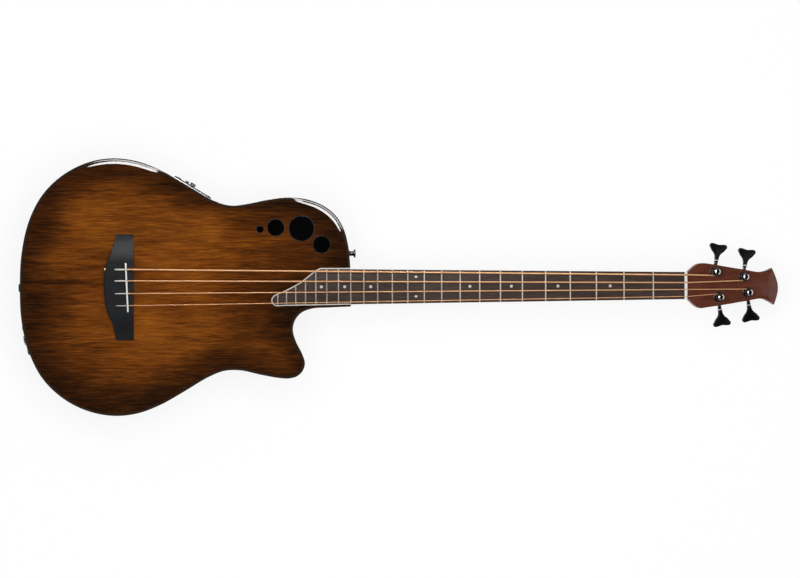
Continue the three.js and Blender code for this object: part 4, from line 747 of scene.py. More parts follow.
RING_WIDTH = 0.0008
RING_EASE = 0.00018
dark_ring, tree, shader = new_finish("dark_ring_wood", (0.007, 0.005, 0.004), 0.35)
ring_grain = grain(tree, 0.0004, 0.006, 0.001)
tint(tree, shader, tones(tree, ring_grain["Fibre"], [
    (0.35, (0.005, 0.0035, 0.003)), (0.65, (0.011, 0.007, 0.005)),
]))
for number, (x, y, radius) in enumerate(sound_holes, 1):
    outer = radius - SEAT_GAP
    inner = outer - RING_WIDTH
    profile = [
        (inner, TOP_UNDERSIDE), (outer, TOP_UNDERSIDE), (outer, TOP_Z - RING_EASE),
        (outer - RING_EASE, TOP_Z), (inner + RING_EASE, TOP_Z), (inner, TOP_Z - RING_EASE),
    ]
    ring = skinned(
        f"hole_ring_{number}", [at_height(circle(x, y, reach, 96), z) for reach, z in profile],
        dark_ring, around=True,
    )
    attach(ring, "instrument")
    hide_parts(f"sound_hole_ring_{number}")

# Inside the body: spruce braces and a bridge plate glued under the top, and the block at the
# neck. Their shapes are the model's own, sawn and sanded bare wood.

bare_spruce, tree, shader = new_finish("bare_spruce", (0.5, 0.33, 0.16), 0.6)
spruce = grain(tree, 0.0011, 0.08, 0.003)
tint(tree, shader, tones(tree, mixed(tree, 0.25, spruce["Fibre"], spruce["Band"]), [
    (0.3, (0.36, 0.2, 0.085)), (0.5, (0.52, 0.34, 0.16)), (0.72, (0.6, 0.43, 0.24)),
]))
bump(tree, shader, spruce["Fibre"], 0.0002, 0.5)


def refinish(node, finish):
    """Gives one of the model's own solids a finish."""
    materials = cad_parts[node].data.materials
    if not materials:
        materials.append(finish)
    for index in range(len(materials)):
        materials[index] = finish


for node in ("braces", "bridge_plate", "neck_block"):
    refinish(node, bare_spruce)

# Neck bolts and truss rod. Two plain steel bolts pull the neck against the body, and a steel
# rod lies in a channel under the fretboard.

plain_steel, tree, shader = new_finish("plain_steel", (0.42, 0.42, 0.41), 0.3, 1.0)
handle(tree, shader, 0.008, 0.32, 0.25)
for node in ("neck_bolt_1", "neck_bolt_2", "truss_rod"):
    refinish(node, plain_steel)

# Neck. One length of red-brown mahogany, shaped round behind, with a heel that fits the bowl
# and a tilted head whose end is carved to a facet. It is finished in thin satin lacquer.

NUT_X = 0.52088
NUT_LENGTH = 0.0045
NUT_LAND = 0.0015
NUT_END_X = NUT_X + SEAT_GAP + NUT_LENGTH
HEAD_X = NUT_END_X + NUT_LAND
HEAD_TILT = math.radians(14)
HEAD_LENGTH = 0.146
HEAD_WIDTH = 0.071
HEAD_THICKNESS = 0.014
HEAD_ROOT_REACH = 0.030
BOARD_WIDTHS = (0.0548, 0.0424)
NECK_DEPTHS = (0.021, 0.018)
NECK_FULLNESS = 2.3
HEEL_LENGTH = 0.082
HEEL_DROP = 0.044
HEEL_FOOT = 0.62
HEEL_REACH = 0.014
TRUSS_ROD_RADIUS = 0.003
TRUSS_ROD_END_GAP = 0.014
BUSHING_SLEEVE_RADIUS = 0.0062
NECK_BOLT_RADIUS = 0.003
head_outline_shares = [
    [(0, 0.61), (0.05, 0.8), (0.1, 0.94), (0.16, 0.985), (0.24, 0.955), (0.42, 0.83), (0.63, 0.69),
     (0.79, 0.59), (0.87, 0.65), (0.93, 0.76)],
    [(0.93, 0.76), (0.965, 0.45), (0.995, 0.1), (1, -0.2), (0.985, -0.5), (0.955, -0.855)],
    [(0.955, -0.855), (0.89, -0.7), (0.82, -0.59), (0.63, -0.7), (0.42, -0.84), (0.19, -0.975),
     (0.14, -1), (0.09, -0.93), (0.04, -0.76), (0, -0.59)],
]
# Each string's radius, its places on the saddle and the nut, its post's place on the head's
# face, the side its key is on and its turns round the post
strings = {
    "E": (0.00125, 0.738, 0.7767, 0.2955, 0.6028, 1, 2.4),
    "A": (0.001, 0.2738, 0.2186, 0.6117, 0.3746, 1, 2.5),
    "D": (0.0008, -0.2451, -0.2837, 0.6541, -0.3127, -1, 2.6),
    "G": (0.0006, -0.738, -0.7907, 0.3329, -0.5127, -1, 2.7),
}
HEAD_FRAME = Matrix.Translation((JOINT_X + HEAD_X, 0, TOP_Z)) @ Matrix.Rotation(HEAD_TILT, 4, "Y")
HEAD_EASE = 0.0009
NECK_UNDERCUT = 0.0006
FACET_START = (0.929, 0.74)
FACET_END = (0.868, -0.9)
FACET_LEAN = 0.2
BOLT_DROPS = (0.020, 0.044)
BOLT_REACH = (-0.045, 0.022)
THROUGH = 0.002
along_x = Matrix.Rotation(math.pi / 2, 4, "Y")


def board_half_width(x):
    """Half the fretboard's width at a distance from the joint."""
    return (BOARD_WIDTHS[0] + (BOARD_WIDTHS[1] - BOARD_WIDTHS[0]) * x / NUT_X) / 2


def neck_section(x, half_width, depth, top_z, foot=1.0):
    """A section through the neck: flat above and round below, narrower there by a foot."""
    ring = []
    for step in range(33):
        angle = math.pi * step / 32
        across = math.cos(angle)
        down = max(math.sin(angle), 0) ** (2 / NECK_FULLNESS)
        width = half_width * (1 + (foot - 1) * down)
        y = math.copysign(width * abs(across) ** (2 / NECK_FULLNESS), across)
        ring.append((JOINT_X + x, -y, top_z - depth * down))
    return ring


neck_rings = []
for x in [-HEEL_REACH, *np.linspace(0, HEEL_LENGTH, 17), *np.linspace(HEEL_LENGTH, NUT_END_X, 12)[1:]]:
    within = min(max(x, 0), NUT_X)
    heel = max(0, 1 - within / HEEL_LENGTH)
    depth = NECK_DEPTHS[0] + (NECK_DEPTHS[1] - NECK_DEPTHS[0]) * within / NUT_X
    neck_rings.append(neck_section(
        x, board_half_width(within), depth + HEEL_DROP * heel ** 2, TOP_Z, 1 + (HEEL_FOOT - 1) * heel,
    ))
for share in (0.25, 0.5, 0.75, 1.0):
    x = NUT_END_X + (HEAD_X - NUT_END_X + HEAD_ROOT_REACH) * share
    fall = max(0, x - HEAD_X) * math.tan(HEAD_TILT) + SEAT_GAP * 2 * share
    depth = NECK_DEPTHS[1] + (HEAD_THICKNESS - NECK_UNDERCUT - NECK_DEPTHS[1]) * smoothed(share)
    neck_rings.append(neck_section(x, BOARD_WIDTHS[1] / 2, depth, TOP_Z - fall))
neck = skinned("neck_and_head", neck_rings)


def on_head(along, across):
    """A place on the head's face, given in shares of its length and half width."""
    return along * HEAD_LENGTH, across * HEAD_WIDTH / 2


def post_frame(name):
    """The frame of a string's post, from the middle of its hole in the head's face."""
    return HEAD_FRAME @ Matrix.Translation((*on_head(*strings[name][3:5]), 0))


head_curve = []
for run in head_outline_shares:
    head_curve += list(curve_through([on_head(*share) for share in run], 6)[:-1])
head_curve = np.array([*head_curve, on_head(*head_outline_shares[-1][-1])])[::-1]
head = skinned("head", [
    [HEAD_FRAME @ Vector((x, y, height)) for x, y in inset(head_curve, distance)]
    for distance, height in (
        (HEAD_EASE, -HEAD_THICKNESS), (HEAD_EASE * 0.3, HEAD_EASE * 0.3 - HEAD_THICKNESS),
        (0, HEAD_EASE - HEAD_THICKNESS), (0, -HEAD_EASE), (HEAD_EASE * 0.3, -HEAD_EASE * 0.3),
        (HEAD_EASE, 0),
    )
])
carve(neck, block((0, -HEAD_WIDTH / 2, 0), (HEAD_LENGTH, HEAD_WIDTH / 2, 0.03), HEAD_FRAME))
combine(neck, "UNION", [head])


def grown_bowl(steps=22):
    """The room that the bowl takes, grown by a gap, for cutting."""
    return skinned("cutter", [
        *(bowl_ring(share, -SEAT_GAP) for share in height_shares(steps)),
        at_height(inset(body_outline, -SEAT_GAP), TOP_Z + 0.001),
    ])


facet_from, facet_to = (Vector((*on_head(*corner), 0)) for corner in (FACET_START, FACET_END))
facet_along = (facet_to - facet_from).normalized()
facet_down = facet_along.cross(Vector((0, 0, -1))) + Vector((0, 0, -FACET_LEAN))
facet_down.normalize()
facet_normal = facet_down.cross(facet_along).normalized()
if facet_normal.z < 0:
    facet_normal.negate()
facet_place = Matrix((facet_down, facet_along, facet_normal)).transposed().to_4x4()
facet_place.translation = facet_from
carve(
    neck,
    grown_bowl(14),
    block(
        (JOINT_X + TRUSS_ROD_END_GAP - SEAT_GAP, -TRUSS_ROD_RADIUS - SEAT_GAP,
         TOP_Z - TRUSS_ROD_RADIUS * 2 - SEAT_GAP * 2),
        (JOINT_X + NUT_X - TRUSS_ROD_END_GAP + SEAT_GAP, TRUSS_ROD_RADIUS + SEAT_GAP, TOP_Z + THROUGH),
    ),
    *(rod(
        NECK_BOLT_RADIUS + SEAT_GAP, *BOLT_REACH,
        Matrix.Translation((JOINT_X, 0, TOP_Z - drop)) @ along_x, 24,
    ) for drop in BOLT_DROPS),
    *(rod(
        BUSHING_SLEEVE_RADIUS + SEAT_GAP, -HEAD_THICKNESS - THROUGH, THROUGH, post_frame(name),
    ) for name in strings),
    block((0, -0.03, 0), (0.04, 0.1, 0.02), HEAD_FRAME @ facet_place),
)


def grained(tree, shader, wood, stops, banding, pore_share, pore_color, pore_depth, pore_bump):
    """Colours a wood by its fibres and broad bands, and sinks dark pores in it."""
    bands = spread_over(tree, wood["Band"], 0.3, 0.7, *banding)
    toned = on_vectors(tree, "MULTIPLY", tones(tree, wood["Fibre"], stops), bands)
    pores = reckon(tree, "MULTIPLY", wood["Pore"], pore_share)
    tint(tree, shader, mixed(tree, pores, toned, pore_color))
    bump(tree, shader, wood["Pore"], pore_depth, pore_bump, sunk=True)


mahogany, tree, shader = new_finish(
    "satin_mahogany", (0.1, 0.03, 0.018), 0.3, specular=0.2, clear_coat=(0.35, 0.16),
)
grained(tree, shader, grain(tree, 0.0009, 0.03, 0.004), [
    (0.3, (0.085, 0.021, 0.0105)), (0.5, (0.126, 0.0325, 0.0165)), (0.7, (0.168, 0.048, 0.0255)),
], (0.78, 1.12), 0.6, (0.022, 0.008, 0.005), 0.00006, 0.5)
handle(tree, shader, 0.05, 0.3, 0.12)
coat(neck, mahogany)
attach(neck, "instrument")
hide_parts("neck")

# Fretboard. A dark, open-pored board with a rounded face, glued to the neck, which runs on
# over the top and ends there in a slanting scroll.

BOARD_FLOOR_Z = TOP_Z + SEAT_GAP
BOARD_TOP_Z = 0.1280
BOARD_RADIUS = 0.305
SCALE_LENGTH = 0.8636
FRET_COUNT = 23
EXTENSION_LENGTH = 0.124
EXTENSION_WIDTH = 0.0588
BORDER_WIDTH = 0.0016
scroll_shares = [
    (-0.384, 1), (-0.437, 0.888), (-0.573, 0.449), (-0.63, 0.262), (-0.815, -0.16),
    (-0.918, -0.344), (-0.971, -0.459), (-1, -0.66), (-0.995, -0.816), (-0.971, -0.96),
    (-0.938, -1.01), (-0.815, -1),
]


def camber(y):
    """How far the board's round face lies below its middle."""
    return BOARD_RADIUS - np.sqrt(BOARD_RADIUS ** 2 - np.asarray(y) ** 2)


scroll = curve_through([(x * EXTENSION_LENGTH, y * EXTENSION_WIDTH / 2) for x, y in scroll_shares], 6)
extension = np.array([(0.01, EXTENSION_WIDTH / 2), *scroll, (0.01, -0.946 * EXTENSION_WIDTH / 2)])
extension[:, 0] += JOINT_X


def short_of_joint(outline):
    """The part of the extension's outline over the body, ended on the joint's line."""
    part = [point for point in outline if point[0] < JOINT_X]
    high = max(point[1] for point in outline)
    low = min(point[1] for point in outline if point[0] >= JOINT_X)
    return np.array([(JOINT_X, high), *part, (JOINT_X, low)])


def board_piece(name, outline, spacing, finish):
    """A plate inside an outline, with a flat floor and the board's round face."""
    sheet, triangles = filled(outline, [], spacing)
    form = bmesh.new()
    upper, lower = lay_twice(form, sheet, triangles, BOARD_TOP_Z - camber(sheet[:, 1]), BOARD_FLOOR_Z)
    form.verts.index_update()
    for edge in [edge for edge in form.edges if len(edge.link_faces) == 1]:
        a, b = (vert.index for vert in edge.verts)
        if a < len(upper) and b < len(upper):
            form.faces.new((upper[a], upper[b], lower[b], lower[a]))
    return new_piece(name, settle(form, name), finish)


ebony, tree, shader = new_finish("open_pored_board", (0.04, 0.027, 0.022), 0.5, specular=0.15)
grained(tree, shader, grain(tree, 0.0008, 0.022, 0.002), [
    (0.3, (0.028, 0.0165, 0.0122)), (0.5, (0.045, 0.0275, 0.0212)), (0.72, (0.08, 0.048, 0.036)),
], (0.75, 1.2), 0.7, (0.008, 0.006, 0.005), 0.00012, 0.7)
handle(tree, shader, 0.03, 0.46, 0.2)
board_outline = np.array([
    *short_of_joint(inset(extension, BORDER_WIDTH + SEAT_GAP)),
    (JOINT_X, -board_half_width(0)), (JOINT_X + NUT_X, -board_half_width(NUT_X)),
    (JOINT_X + NUT_X, board_half_width(NUT_X)), (JOINT_X, board_half_width(0)),
])
board = board_piece("fretboard_plate", board_outline, 0.005, ebony)
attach(board, "instrument")
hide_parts("fretboard")

# Border. A cream plastic strip, bent round the scroll and glued to the board's edge.

cream, tree, shader = new_finish("cream_plastic", (0.5, 0.48, 0.43), 0.32)
tint(tree, shader, tones(tree, noise(tree, object_place(tree), 120.0, 3.0, 0.6)[0], [
    (0.35, (0.54, 0.52, 0.46)), (0.65, (0.66, 0.64, 0.58)),
]))
handle(tree, shader, 0.01, 0.32, 0.15)
border_inner = short_of_joint(inset(extension, BORDER_WIDTH))
border_outline = np.array([*short_of_joint(extension), *border_inner[::-1]])
border = board_piece("board_border", border_outline, 0.02, cream)
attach(border, "instrument")
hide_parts("fretboard_border")

# Frets. Lengths of crowned nickel-silver wire, hammered across the board and dressed at the
# ends. The tree sets one wire for each point and bends them all to the board's camber.

FRET_WIDTH = 0.0019
FRET_HEIGHT = 0.0012
FRET_INSET = 0.0006


def geometry_tree(name, sizes):
    """A Geometry Nodes tree with a geometry in and out and named sizes."""
    tree = bpy.data.node_groups.new(name, "GeometryNodeTree")
    tree.interface.new_socket("Geometry", in_out="INPUT", socket_type="NodeSocketGeometry")
    tree.interface.new_socket("Geometry", in_out="OUTPUT", socket_type="NodeSocketGeometry")
    for label, value in sizes.items():
        kind = {int: "NodeSocketInt", float: "NodeSocketFloat"}[type(value)]
        tree.interface.new_socket(label, in_out="INPUT", socket_type=kind).default_value = value
    return tree, tree.nodes.new("NodeGroupInput").outputs, tree.nodes.new("NodeGroupOutput").inputs


def points_mesh(name, points, **facts):
    """Loose points with values or vectors on them, for a tree to set pieces on."""
    mesh = bpy.data.meshes.new(name)
    mesh.from_pydata([tuple(point) for point in points], [], [])
    for label, values in facts.items():
        kind, field = ("FLOAT_VECTOR", "vector") if np.ndim(values) == 2 else ("FLOAT", "value")
        fact = mesh.attributes.new(label, kind, "POINT")
        fact.data.foreach_set(field, np.asarray(values, np.float32).ravel())
    return mesh


def grow(name, mesh, tree, sizes):
    """Sets a tree's sizes on a mesh of points, and makes the result a plain piece."""
    piece = put(name, mesh)
    modifier = piece.modifiers.new(name, "NODES")
    modifier.node_group = tree
    for item in tree.interface.items_tree:
        if item.in_out == "INPUT" and item.name in sizes:
            modifier[item.identifier] = sizes[item.name]
    bake(piece)
    return piece


def fact(tree, label, kind="FLOAT"):
    return wire(tree, "GeometryNodeInputNamedAttribute", {"Name": label}, data_type=kind).outputs[0]


def coordinates(tree):
    """The X, Y and Z of a tree's points."""
    place = wire(tree, "GeometryNodeInputPosition").outputs[0]
    return wire(tree, "ShaderNodeSeparateXYZ", {0: place}).outputs[:3]


def set_on_points(tree, points, piece, **turn):
    """A piece set on every point and made real."""
    copies = wire(tree, "GeometryNodeInstanceOnPoints", {"Points": points, "Instance": piece, **turn})
    return wire(tree, "GeometryNodeRealizeInstances", {"Geometry": copies.outputs[0]}).outputs[0]


def end_tree(tree, made, geometry, finish):
    """Puts out a tree's geometry with its finish."""
    finished = wire(tree, "GeometryNodeSetMaterial", {"Geometry": geometry, "Material": finish})
    tree.links.new(finished.outputs[0], made["Geometry"])


def fret_x(number):
    return JOINT_X + NUT_X - SCALE_LENGTH * (1 - 2 ** (-number / 12))


def reach_across(outline, x):
    """The lowest and highest Y at which an outline crosses a line of constant X."""
    ahead = np.roll(outline, -1, axis=0)
    crossing = (outline[:, 0] - x) * (ahead[:, 0] - x) < 0
    a, b = outline[crossing], ahead[crossing]
    ys = a[:, 1] + (x - a[:, 0]) / (b[:, 0] - a[:, 0]) * (b[:, 1] - a[:, 1])
    return ys.min(), ys.max()


nickel_silver, tree, shader = new_finish("nickel_silver", (0.6, 0.59, 0.56), 0.36, 0.75)
handle(tree, shader, 0.006, 0.36, 0.15)

tree, given, made = geometry_tree("fret_wires", {
    "Wire Width": 0.0026, "Wire Height": 0.0012, "Board Radius": 0.305,
})
blank = wire(tree, "GeometryNodeMeshCylinder", {
    "Vertices": 20, "Side Segments": 14, "Radius": 1.0, "Depth": 1.0,
})
laid = wire(tree, "GeometryNodeTransform", {
    "Geometry": blank.outputs["Mesh"], "Rotation": (math.pi / 2, 0.0, 0.0),
})
x, y, z = coordinates(tree)
crown = reckon(tree, "MULTIPLY", reckon(tree, "MAXIMUM", z, 0.0), given["Wire Height"])
across = reckon(tree, "MULTIPLY", reckon(tree, "MULTIPLY", x, given["Wire Width"]), 0.5)
shaped = wire(tree, "GeometryNodeSetPosition", {
    "Geometry": laid.outputs[0], "Position": as_vector(tree, across, y, crown),
})
wires = set_on_points(
    tree, given["Geometry"], shaped.outputs[0], Scale=as_vector(tree, 1.0, fact(tree, "length"), 1.0),
)
side = coordinates(tree)[1]
squared = reckon(tree, "POWER", given["Board Radius"], 2.0)
left = reckon(tree, "SUBTRACT", squared, reckon(tree, "MULTIPLY", side, side))
fall = reckon(tree, "SUBTRACT", reckon(tree, "POWER", left, 0.5), given["Board Radius"])
bent = wire(tree, "GeometryNodeSetPosition", {
    "Geometry": wires, "Offset": as_vector(tree, 0.0, 0.0, fall),
})
end_tree(tree, made, bent.outputs[0], nickel_silver)

fret_reaches = [reach_across(board_outline, fret_x(number)) for number in range(1, FRET_COUNT + 1)]
fret_points = [
    (fret_x(number), (low + high) / 2, BOARD_TOP_Z) for number, (low, high) in enumerate(fret_reaches, 1)
]
fret_lengths = [high - low - FRET_INSET * 2 for low, high in fret_reaches]
frets = grow("fret_wires", points_mesh("fret_wires", fret_points, length=fret_lengths), tree, {
    "Wire Width": FRET_WIDTH, "Wire Height": FRET_HEIGHT, "Board Radius": BOARD_RADIUS,
})
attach(frets, "instrument")
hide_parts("frets")

# Position dots. Small discs of grey-white shell let into the board on its middle line, two of
# them side by side at the octave, and dressed level with it.

DOT_RADIUS = 0.0023
DOT_DEPTH = 0.0008
DOT_PROUD = 0.00004
OCTAVE_SPREAD = 0.0149
shell_dot, tree, shader = new_finish("shell_dot", (0.46, 0.46, 0.45), 0.25)
tint(tree, shader, tones(tree, noise(tree, object_place(tree), 700.0, 2.0)[0], [
    (0.35, (0.5, 0.505, 0.5)), (0.65, (0.7, 0.695, 0.67)),
]))
tree, given, made = geometry_tree("board_dots", {"Dot Radius": 0.002, "Dot Depth": 0.001})
disc = wire(tree, "GeometryNodeMeshCylinder", {
    "Vertices": 28, "Radius": given["Dot Radius"], "Depth": given["Dot Depth"],
})
end_tree(tree, made, set_on_points(tree, given["Geometry"], disc.outputs["Mesh"]), shell_dot)
dot_places = [(number, 0.0) for number in (3, 5, 7, 9, 15, 17, 19)]
dot_places += [(12, -OCTAVE_SPREAD), (12, OCTAVE_SPREAD)]
dots = grow("board_dots", points_mesh("board_dots", [
    ((fret_x(number) + fret_x(number - 1)) / 2, y,
     BOARD_TOP_Z - float(camber(y)) - DOT_DEPTH / 2 + DOT_PROUD)
    for number, y in dot_places
]), tree, {"Dot Radius": DOT_RADIUS, "Dot Depth": DOT_DEPTH})
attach(dots, "instrument")

# Nut. A sawn and polished bar of white bone, glued at the end of the board, with a round-
# bottomed notch for each string.

NUT_WIDTH = 0.043
SADDLE_LENGTH = 0.0767
SADDLE_THICKNESS = 0.0026
SADDLE_SLANT = math.radians(2.5)
SADDLE_COMPENSATION = 0.007
BRIDGE_X = JOINT_X + NUT_X - SCALE_LENGTH - SADDLE_COMPENSATION
BRIDGE_FLOOR_Z = TOP_Z + SEAT_GAP
BALL_RADIUS = 0.0025
BALL_LENGTH = 0.004
BALL_BEHIND_SADDLE = 0.034
STRING_BEND_BEHIND_SADDLE = (0.0275, 5.5)
STRING_HOLE_Z = BRIDGE_FLOOR_Z + 0.0039
STRING_SADDLE_HEIGHT = 0.0116
STRING_NUT_CLEAR = 0.0017
THICKEST_STRING = max(radius for radius, *_ in strings.values())
POST_RADIUS = 0.0042
RUN_GAP = 0.0004
WRAP_GAP = 0.0005
WRAP_START_HEIGHT = 0.0052
WRAP_STEPS = 32
TUBE_SIDES = 16


def saddle_x(y):
    return BRIDGE_X - math.tan(SADDLE_SLANT) * y


def wrap_points(name):
    """The loops of a string round its post."""
    radius, *_, side, turns = strings[name]
    points = []
    for step in range(round(turns * WRAP_STEPS) + 1):
        loops = step / WRAP_STEPS
        reach = Vector((POST_RADIUS + RUN_GAP + radius, 0, 0))
        reach.rotate(Matrix.Rotation(side * (2 * math.pi * loops - math.pi / 2), 3, "Z"))
        reach.z = WRAP_START_HEIGHT + (radius * 2 + WRAP_GAP) * loops
        points.append(post_frame(name) @ reach)
    return points


def string_points(name):
    """The way a string takes from its ball end to the last of its loops."""
    radius, on_saddle, on_nut, *_ = strings[name]
    saddle_y, nut_y = on_saddle * SADDLE_LENGTH / 2, on_nut * NUT_WIDTH / 2
    saddle = saddle_x(saddle_y)
    over_saddle = TOP_Z + STRING_SADDLE_HEIGHT - float(camber(saddle_y)) + radius
    over_nut = BOARD_TOP_Z - float(camber(nut_y)) + STRING_NUT_CLEAR + radius
    ball = saddle - BALL_BEHIND_SADDLE
    bend = STRING_BEND_BEHIND_SADDLE[0] - STRING_BEND_BEHIND_SADDLE[1] * radius
    return [
        Vector((ball + BALL_LENGTH * 0.5, saddle_y, STRING_HOLE_Z)),
        Vector((ball + BALL_LENGTH + radius, saddle_y, STRING_HOLE_Z)),
        Vector((saddle - bend, saddle_y, STRING_HOLE_Z)),
        Vector((saddle, saddle_y, over_saddle)),
        Vector((JOINT_X + NUT_X, nut_y, over_nut)),
        Vector((JOINT_X + NUT_END_X, nut_y, over_nut - SEAT_GAP)),
        *wrap_points(name),
    ]


def tube(name, path, radius, sides=TUBE_SIDES):
    """A round tube along points, with a UV map: U runs round it and V is metres along it."""
    path = [Vector(point) for point in path]
    form = bmesh.new()
    wrap = form.loops.layers.uv.new("along")
    normal = Vector((0, 0, 1))
    rings, travelled, total = [], [], 0.0
    for index, point in enumerate(path):
        ahead = path[min(index + 1, len(path) - 1)]
        behind = path[max(index - 1, 0)]
        tangent = (ahead - behind).normalized()
        if index == 0 and abs(tangent.z) > 0.9:
            normal = Vector((1, 0, 0))
        normal = (normal - tangent * normal.dot(tangent)).normalized()
        binormal = tangent.cross(normal)
        if index:
            total += (point - path[index - 1]).length
        travelled.append(total)
        angles = [2 * math.pi * side / sides for side in range(sides)]
        rings.append([
            form.verts.new(point + normal * math.cos(a) * radius + binormal * math.sin(a) * radius)
            for a in angles
        ])
    for row, (here, there) in enumerate(zip(rings, rings[1:])):
        for side in range(sides):
            after = (side + 1) % sides
            face = form.faces.new((here[side], here[after], there[after], there[side]))
            face.smooth = True
            for loop, (u, v) in zip(face.loops, (
                (side, travelled[row]), (side + 1, travelled[row]),
                (side + 1, travelled[row + 1]), (side, travelled[row + 1]),
            )):
                loop[wrap].uv = (u / sides, v)
    form.faces.new(rings[0][::-1])
    form.faces.new(rings[-1])
    for edge in form.edges:
        edge.smooth = edge.calc_face_angle() < math.radians(50)
    return write_mesh(form, bpy.data.meshes.new(name))


def string_room(name, room):
    """The space that a string takes on its way through a piece, for cutting."""
    path = string_points(name)[:6]
    path.append(path[-1] + (path[-1] - path[-2]).normalized() * THROUGH)
    return new_piece("cutter", tube("cutter", path, strings[name][0] + room))


nut_height = BOARD_TOP_Z + STRING_NUT_CLEAR + THICKEST_STRING
nut_back, nut_front = JOINT_X + NUT_X + SEAT_GAP, JOINT_X + NUT_END_X
nut_rings = []
for y in np.linspace(-NUT_WIDTH / 2, NUT_WIDTH / 2, 25):
    end = min(1, (NUT_WIDTH / 2 - abs(y)) / 0.0012)
    crest = nut_height - float(camber(y)) * 0.8 - 0.0006 * (1 - end) ** 2
    nut_rings.append([
        (nut_back, y, BOARD_FLOOR_Z), (nut_front, y, BOARD_FLOOR_Z), (nut_front, y, crest - 0.0014),
        (nut_front - 0.0004, y, crest - 0.0007), (nut_front - 0.0013, y, crest - 0.0002),
        (nut_front - 0.0026, y, crest), (nut_back + 0.0008, y, crest),
        (nut_back + 0.0002, y, crest - 0.0002), (nut_back, y, crest - 0.0006),
    ])
nut = skinned("bone_nut", nut_rings)
carve(nut, *(string_room(name, SEAT_GAP * 1.2) for name in strings))
bone, tree, shader = new_finish("white_bone", (0.9, 0.89, 0.85), 0.3)
bone_grain = grain(tree, 0.0005, 0.006, 0.001)
tint(tree, shader, tones(tree, bone_grain["Fibre"], [
    (0.3, (0.84, 0.82, 0.76)), (0.6, (0.93, 0.92, 0.89)),
]))
handle(tree, shader, 0.008, 0.28, 0.15)
coat(nut, bone)
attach(nut, "instrument")
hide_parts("nut")

# Bridge. A carved piece of stained hardwood glued to the top, wide and scrolled behind, with
# a slot for the saddle and a way for each string from its seat in the rear edge.

BRIDGE_FRONT = 0.0106
BRIDGE_BACK = 0.0353
BRIDGE_WIDTH = 0.1664
BRIDGE_HEIGHT = 0.0075
BRIDGE_BEVEL = 0.0022
SADDLE_SLOT_FLOOR = 0.0024
WING_SLOPE = (0.040, 0.080)
WING_DROP = 0.0044
FUNNEL_ROOM = 0.0013
bridge_back_shares = [
    (0.47, 1), (0.535, 0.87), (0.6, 0.76), (0.685, 0.65), (0.815, 0.545), (0.92, 0.42),
    (0.99, 0.25), (1.01, 0.05), (0.985, -0.18), (0.92, -0.38), (0.79, -0.54), (0.64, -0.67),
    (0.555, -0.82), (0.485, -0.99),
]
bridge_outline = np.array([
    *curve_through(
        [(BRIDGE_X - x * BRIDGE_BACK, y * BRIDGE_WIDTH / 2) for x, y in bridge_back_shares], 6,
    ),
    (BRIDGE_X + BRIDGE_FRONT, -0.99 * BRIDGE_WIDTH / 2), (BRIDGE_X + BRIDGE_FRONT, BRIDGE_WIDTH / 2),
])
BRIDGE_TOP_Z = BRIDGE_FLOOR_Z + BRIDGE_HEIGHT
bridge_rings = [at_height(bridge_outline, BRIDGE_FLOOR_Z)]
for step in range(7):
    angle = math.pi / 2 * step / 6
    bridge_rings.append(at_height(
        inset(bridge_outline, BRIDGE_BEVEL * (1 - math.cos(angle))),
        BRIDGE_TOP_Z - BRIDGE_BEVEL * (1 - math.sin(angle)),
    ))
bridge = skinned("carved_bridge", bridge_rings)
SADDLE_FRAME = Matrix.Translation((BRIDGE_X, 0, BRIDGE_FLOOR_Z)) @ Matrix.Rotation(SADDLE_SLANT, 4, "Z")


def string_funnel(name):
    """The worn, wider mouth of a string's way down into the bridge."""
    low, high = string_points(name)[2:4]
    way = [low + (high - low) * share for share in (0.12, 0.2, 0.3, 0.42)]
    return new_piece("cutter", tube("cutter", way, strings[name][0] + FUNNEL_ROOM))


def wing_cutter(side):
    """What is carved off one of the bridge's wings: it slopes down and runs out thinner."""
    slope = [
        (side * (WING_SLOPE[0] + (WING_SLOPE[1] - WING_SLOPE[0]) * share), -WING_DROP * smoothed(share))
        for share in np.linspace(0, 1, 41)
    ]
    clear = [(side * 0.1, -WING_DROP), (side * 0.1, 0.004), (side * WING_SLOPE[0], 0.004)]
    return skinned("cutter", [
        [(x, y, BRIDGE_TOP_Z + z) for y, z in [*slope, *clear]]
        for x in (BRIDGE_X - BRIDGE_BACK - THROUGH, BRIDGE_X + BRIDGE_FRONT + THROUGH)
    ])


def ball_bore(name):
    """The seat of a string's ball, from the bridge's rear edge."""
    y = strings[name][1] * SADDLE_LENGTH / 2
    mouth = Matrix.Translation((saddle_x(y) - BALL_BEHIND_SADDLE + BALL_LENGTH, y, STRING_HOLE_Z))
    return rod(BALL_RADIUS + SEAT_GAP * 2, -BALL_LENGTH, 0.0008, mouth @ along_x, 28)


carve(
    bridge,
    wing_cutter(1),
    wing_cutter(-1),
    opening(
        (SADDLE_THICKNESS, SADDLE_LENGTH), SADDLE_SLOT_FLOOR, BRIDGE_HEIGHT + THROUGH, SADDLE_FRAME,
    ),
    *(string_room(name, SEAT_GAP * 2) for name in strings),
    *(string_funnel(name) for name in strings),
    *(ball_bore(name) for name in strings),
)
stained_bridge, tree, shader = new_finish(
    "stained_bridge_wood", (0.02, 0.023, 0.027), 0.32, specular=0.24,
)
bridge_grain = grain(tree, 0.0007, 0.014, 0.002)
turned_place = wire(tree, "ShaderNodeMapping", {
    "Vector": object_place(tree), "Rotation": (0.0, 0.0, math.pi / 2),
}).outputs[0]
tree.links.new(turned_place, bridge_grain["Fibre"].node.inputs["Place"])
grained(tree, shader, bridge_grain, [
    (0.3, (0.005, 0.0055, 0.0065)), (0.5, (0.008, 0.0088, 0.0102)), (0.75, (0.014, 0.015, 0.017)),
], (1.0, 1.0), 0.7, (0.005, 0.005, 0.006), 0.0001, 0.6)
handle(tree, shader, 0.03, 0.42, 0.12)
for face in bridge.data.polygons:
    face.use_smooth = face.normal.z < 0.97
coat(bridge, stained_bridge)
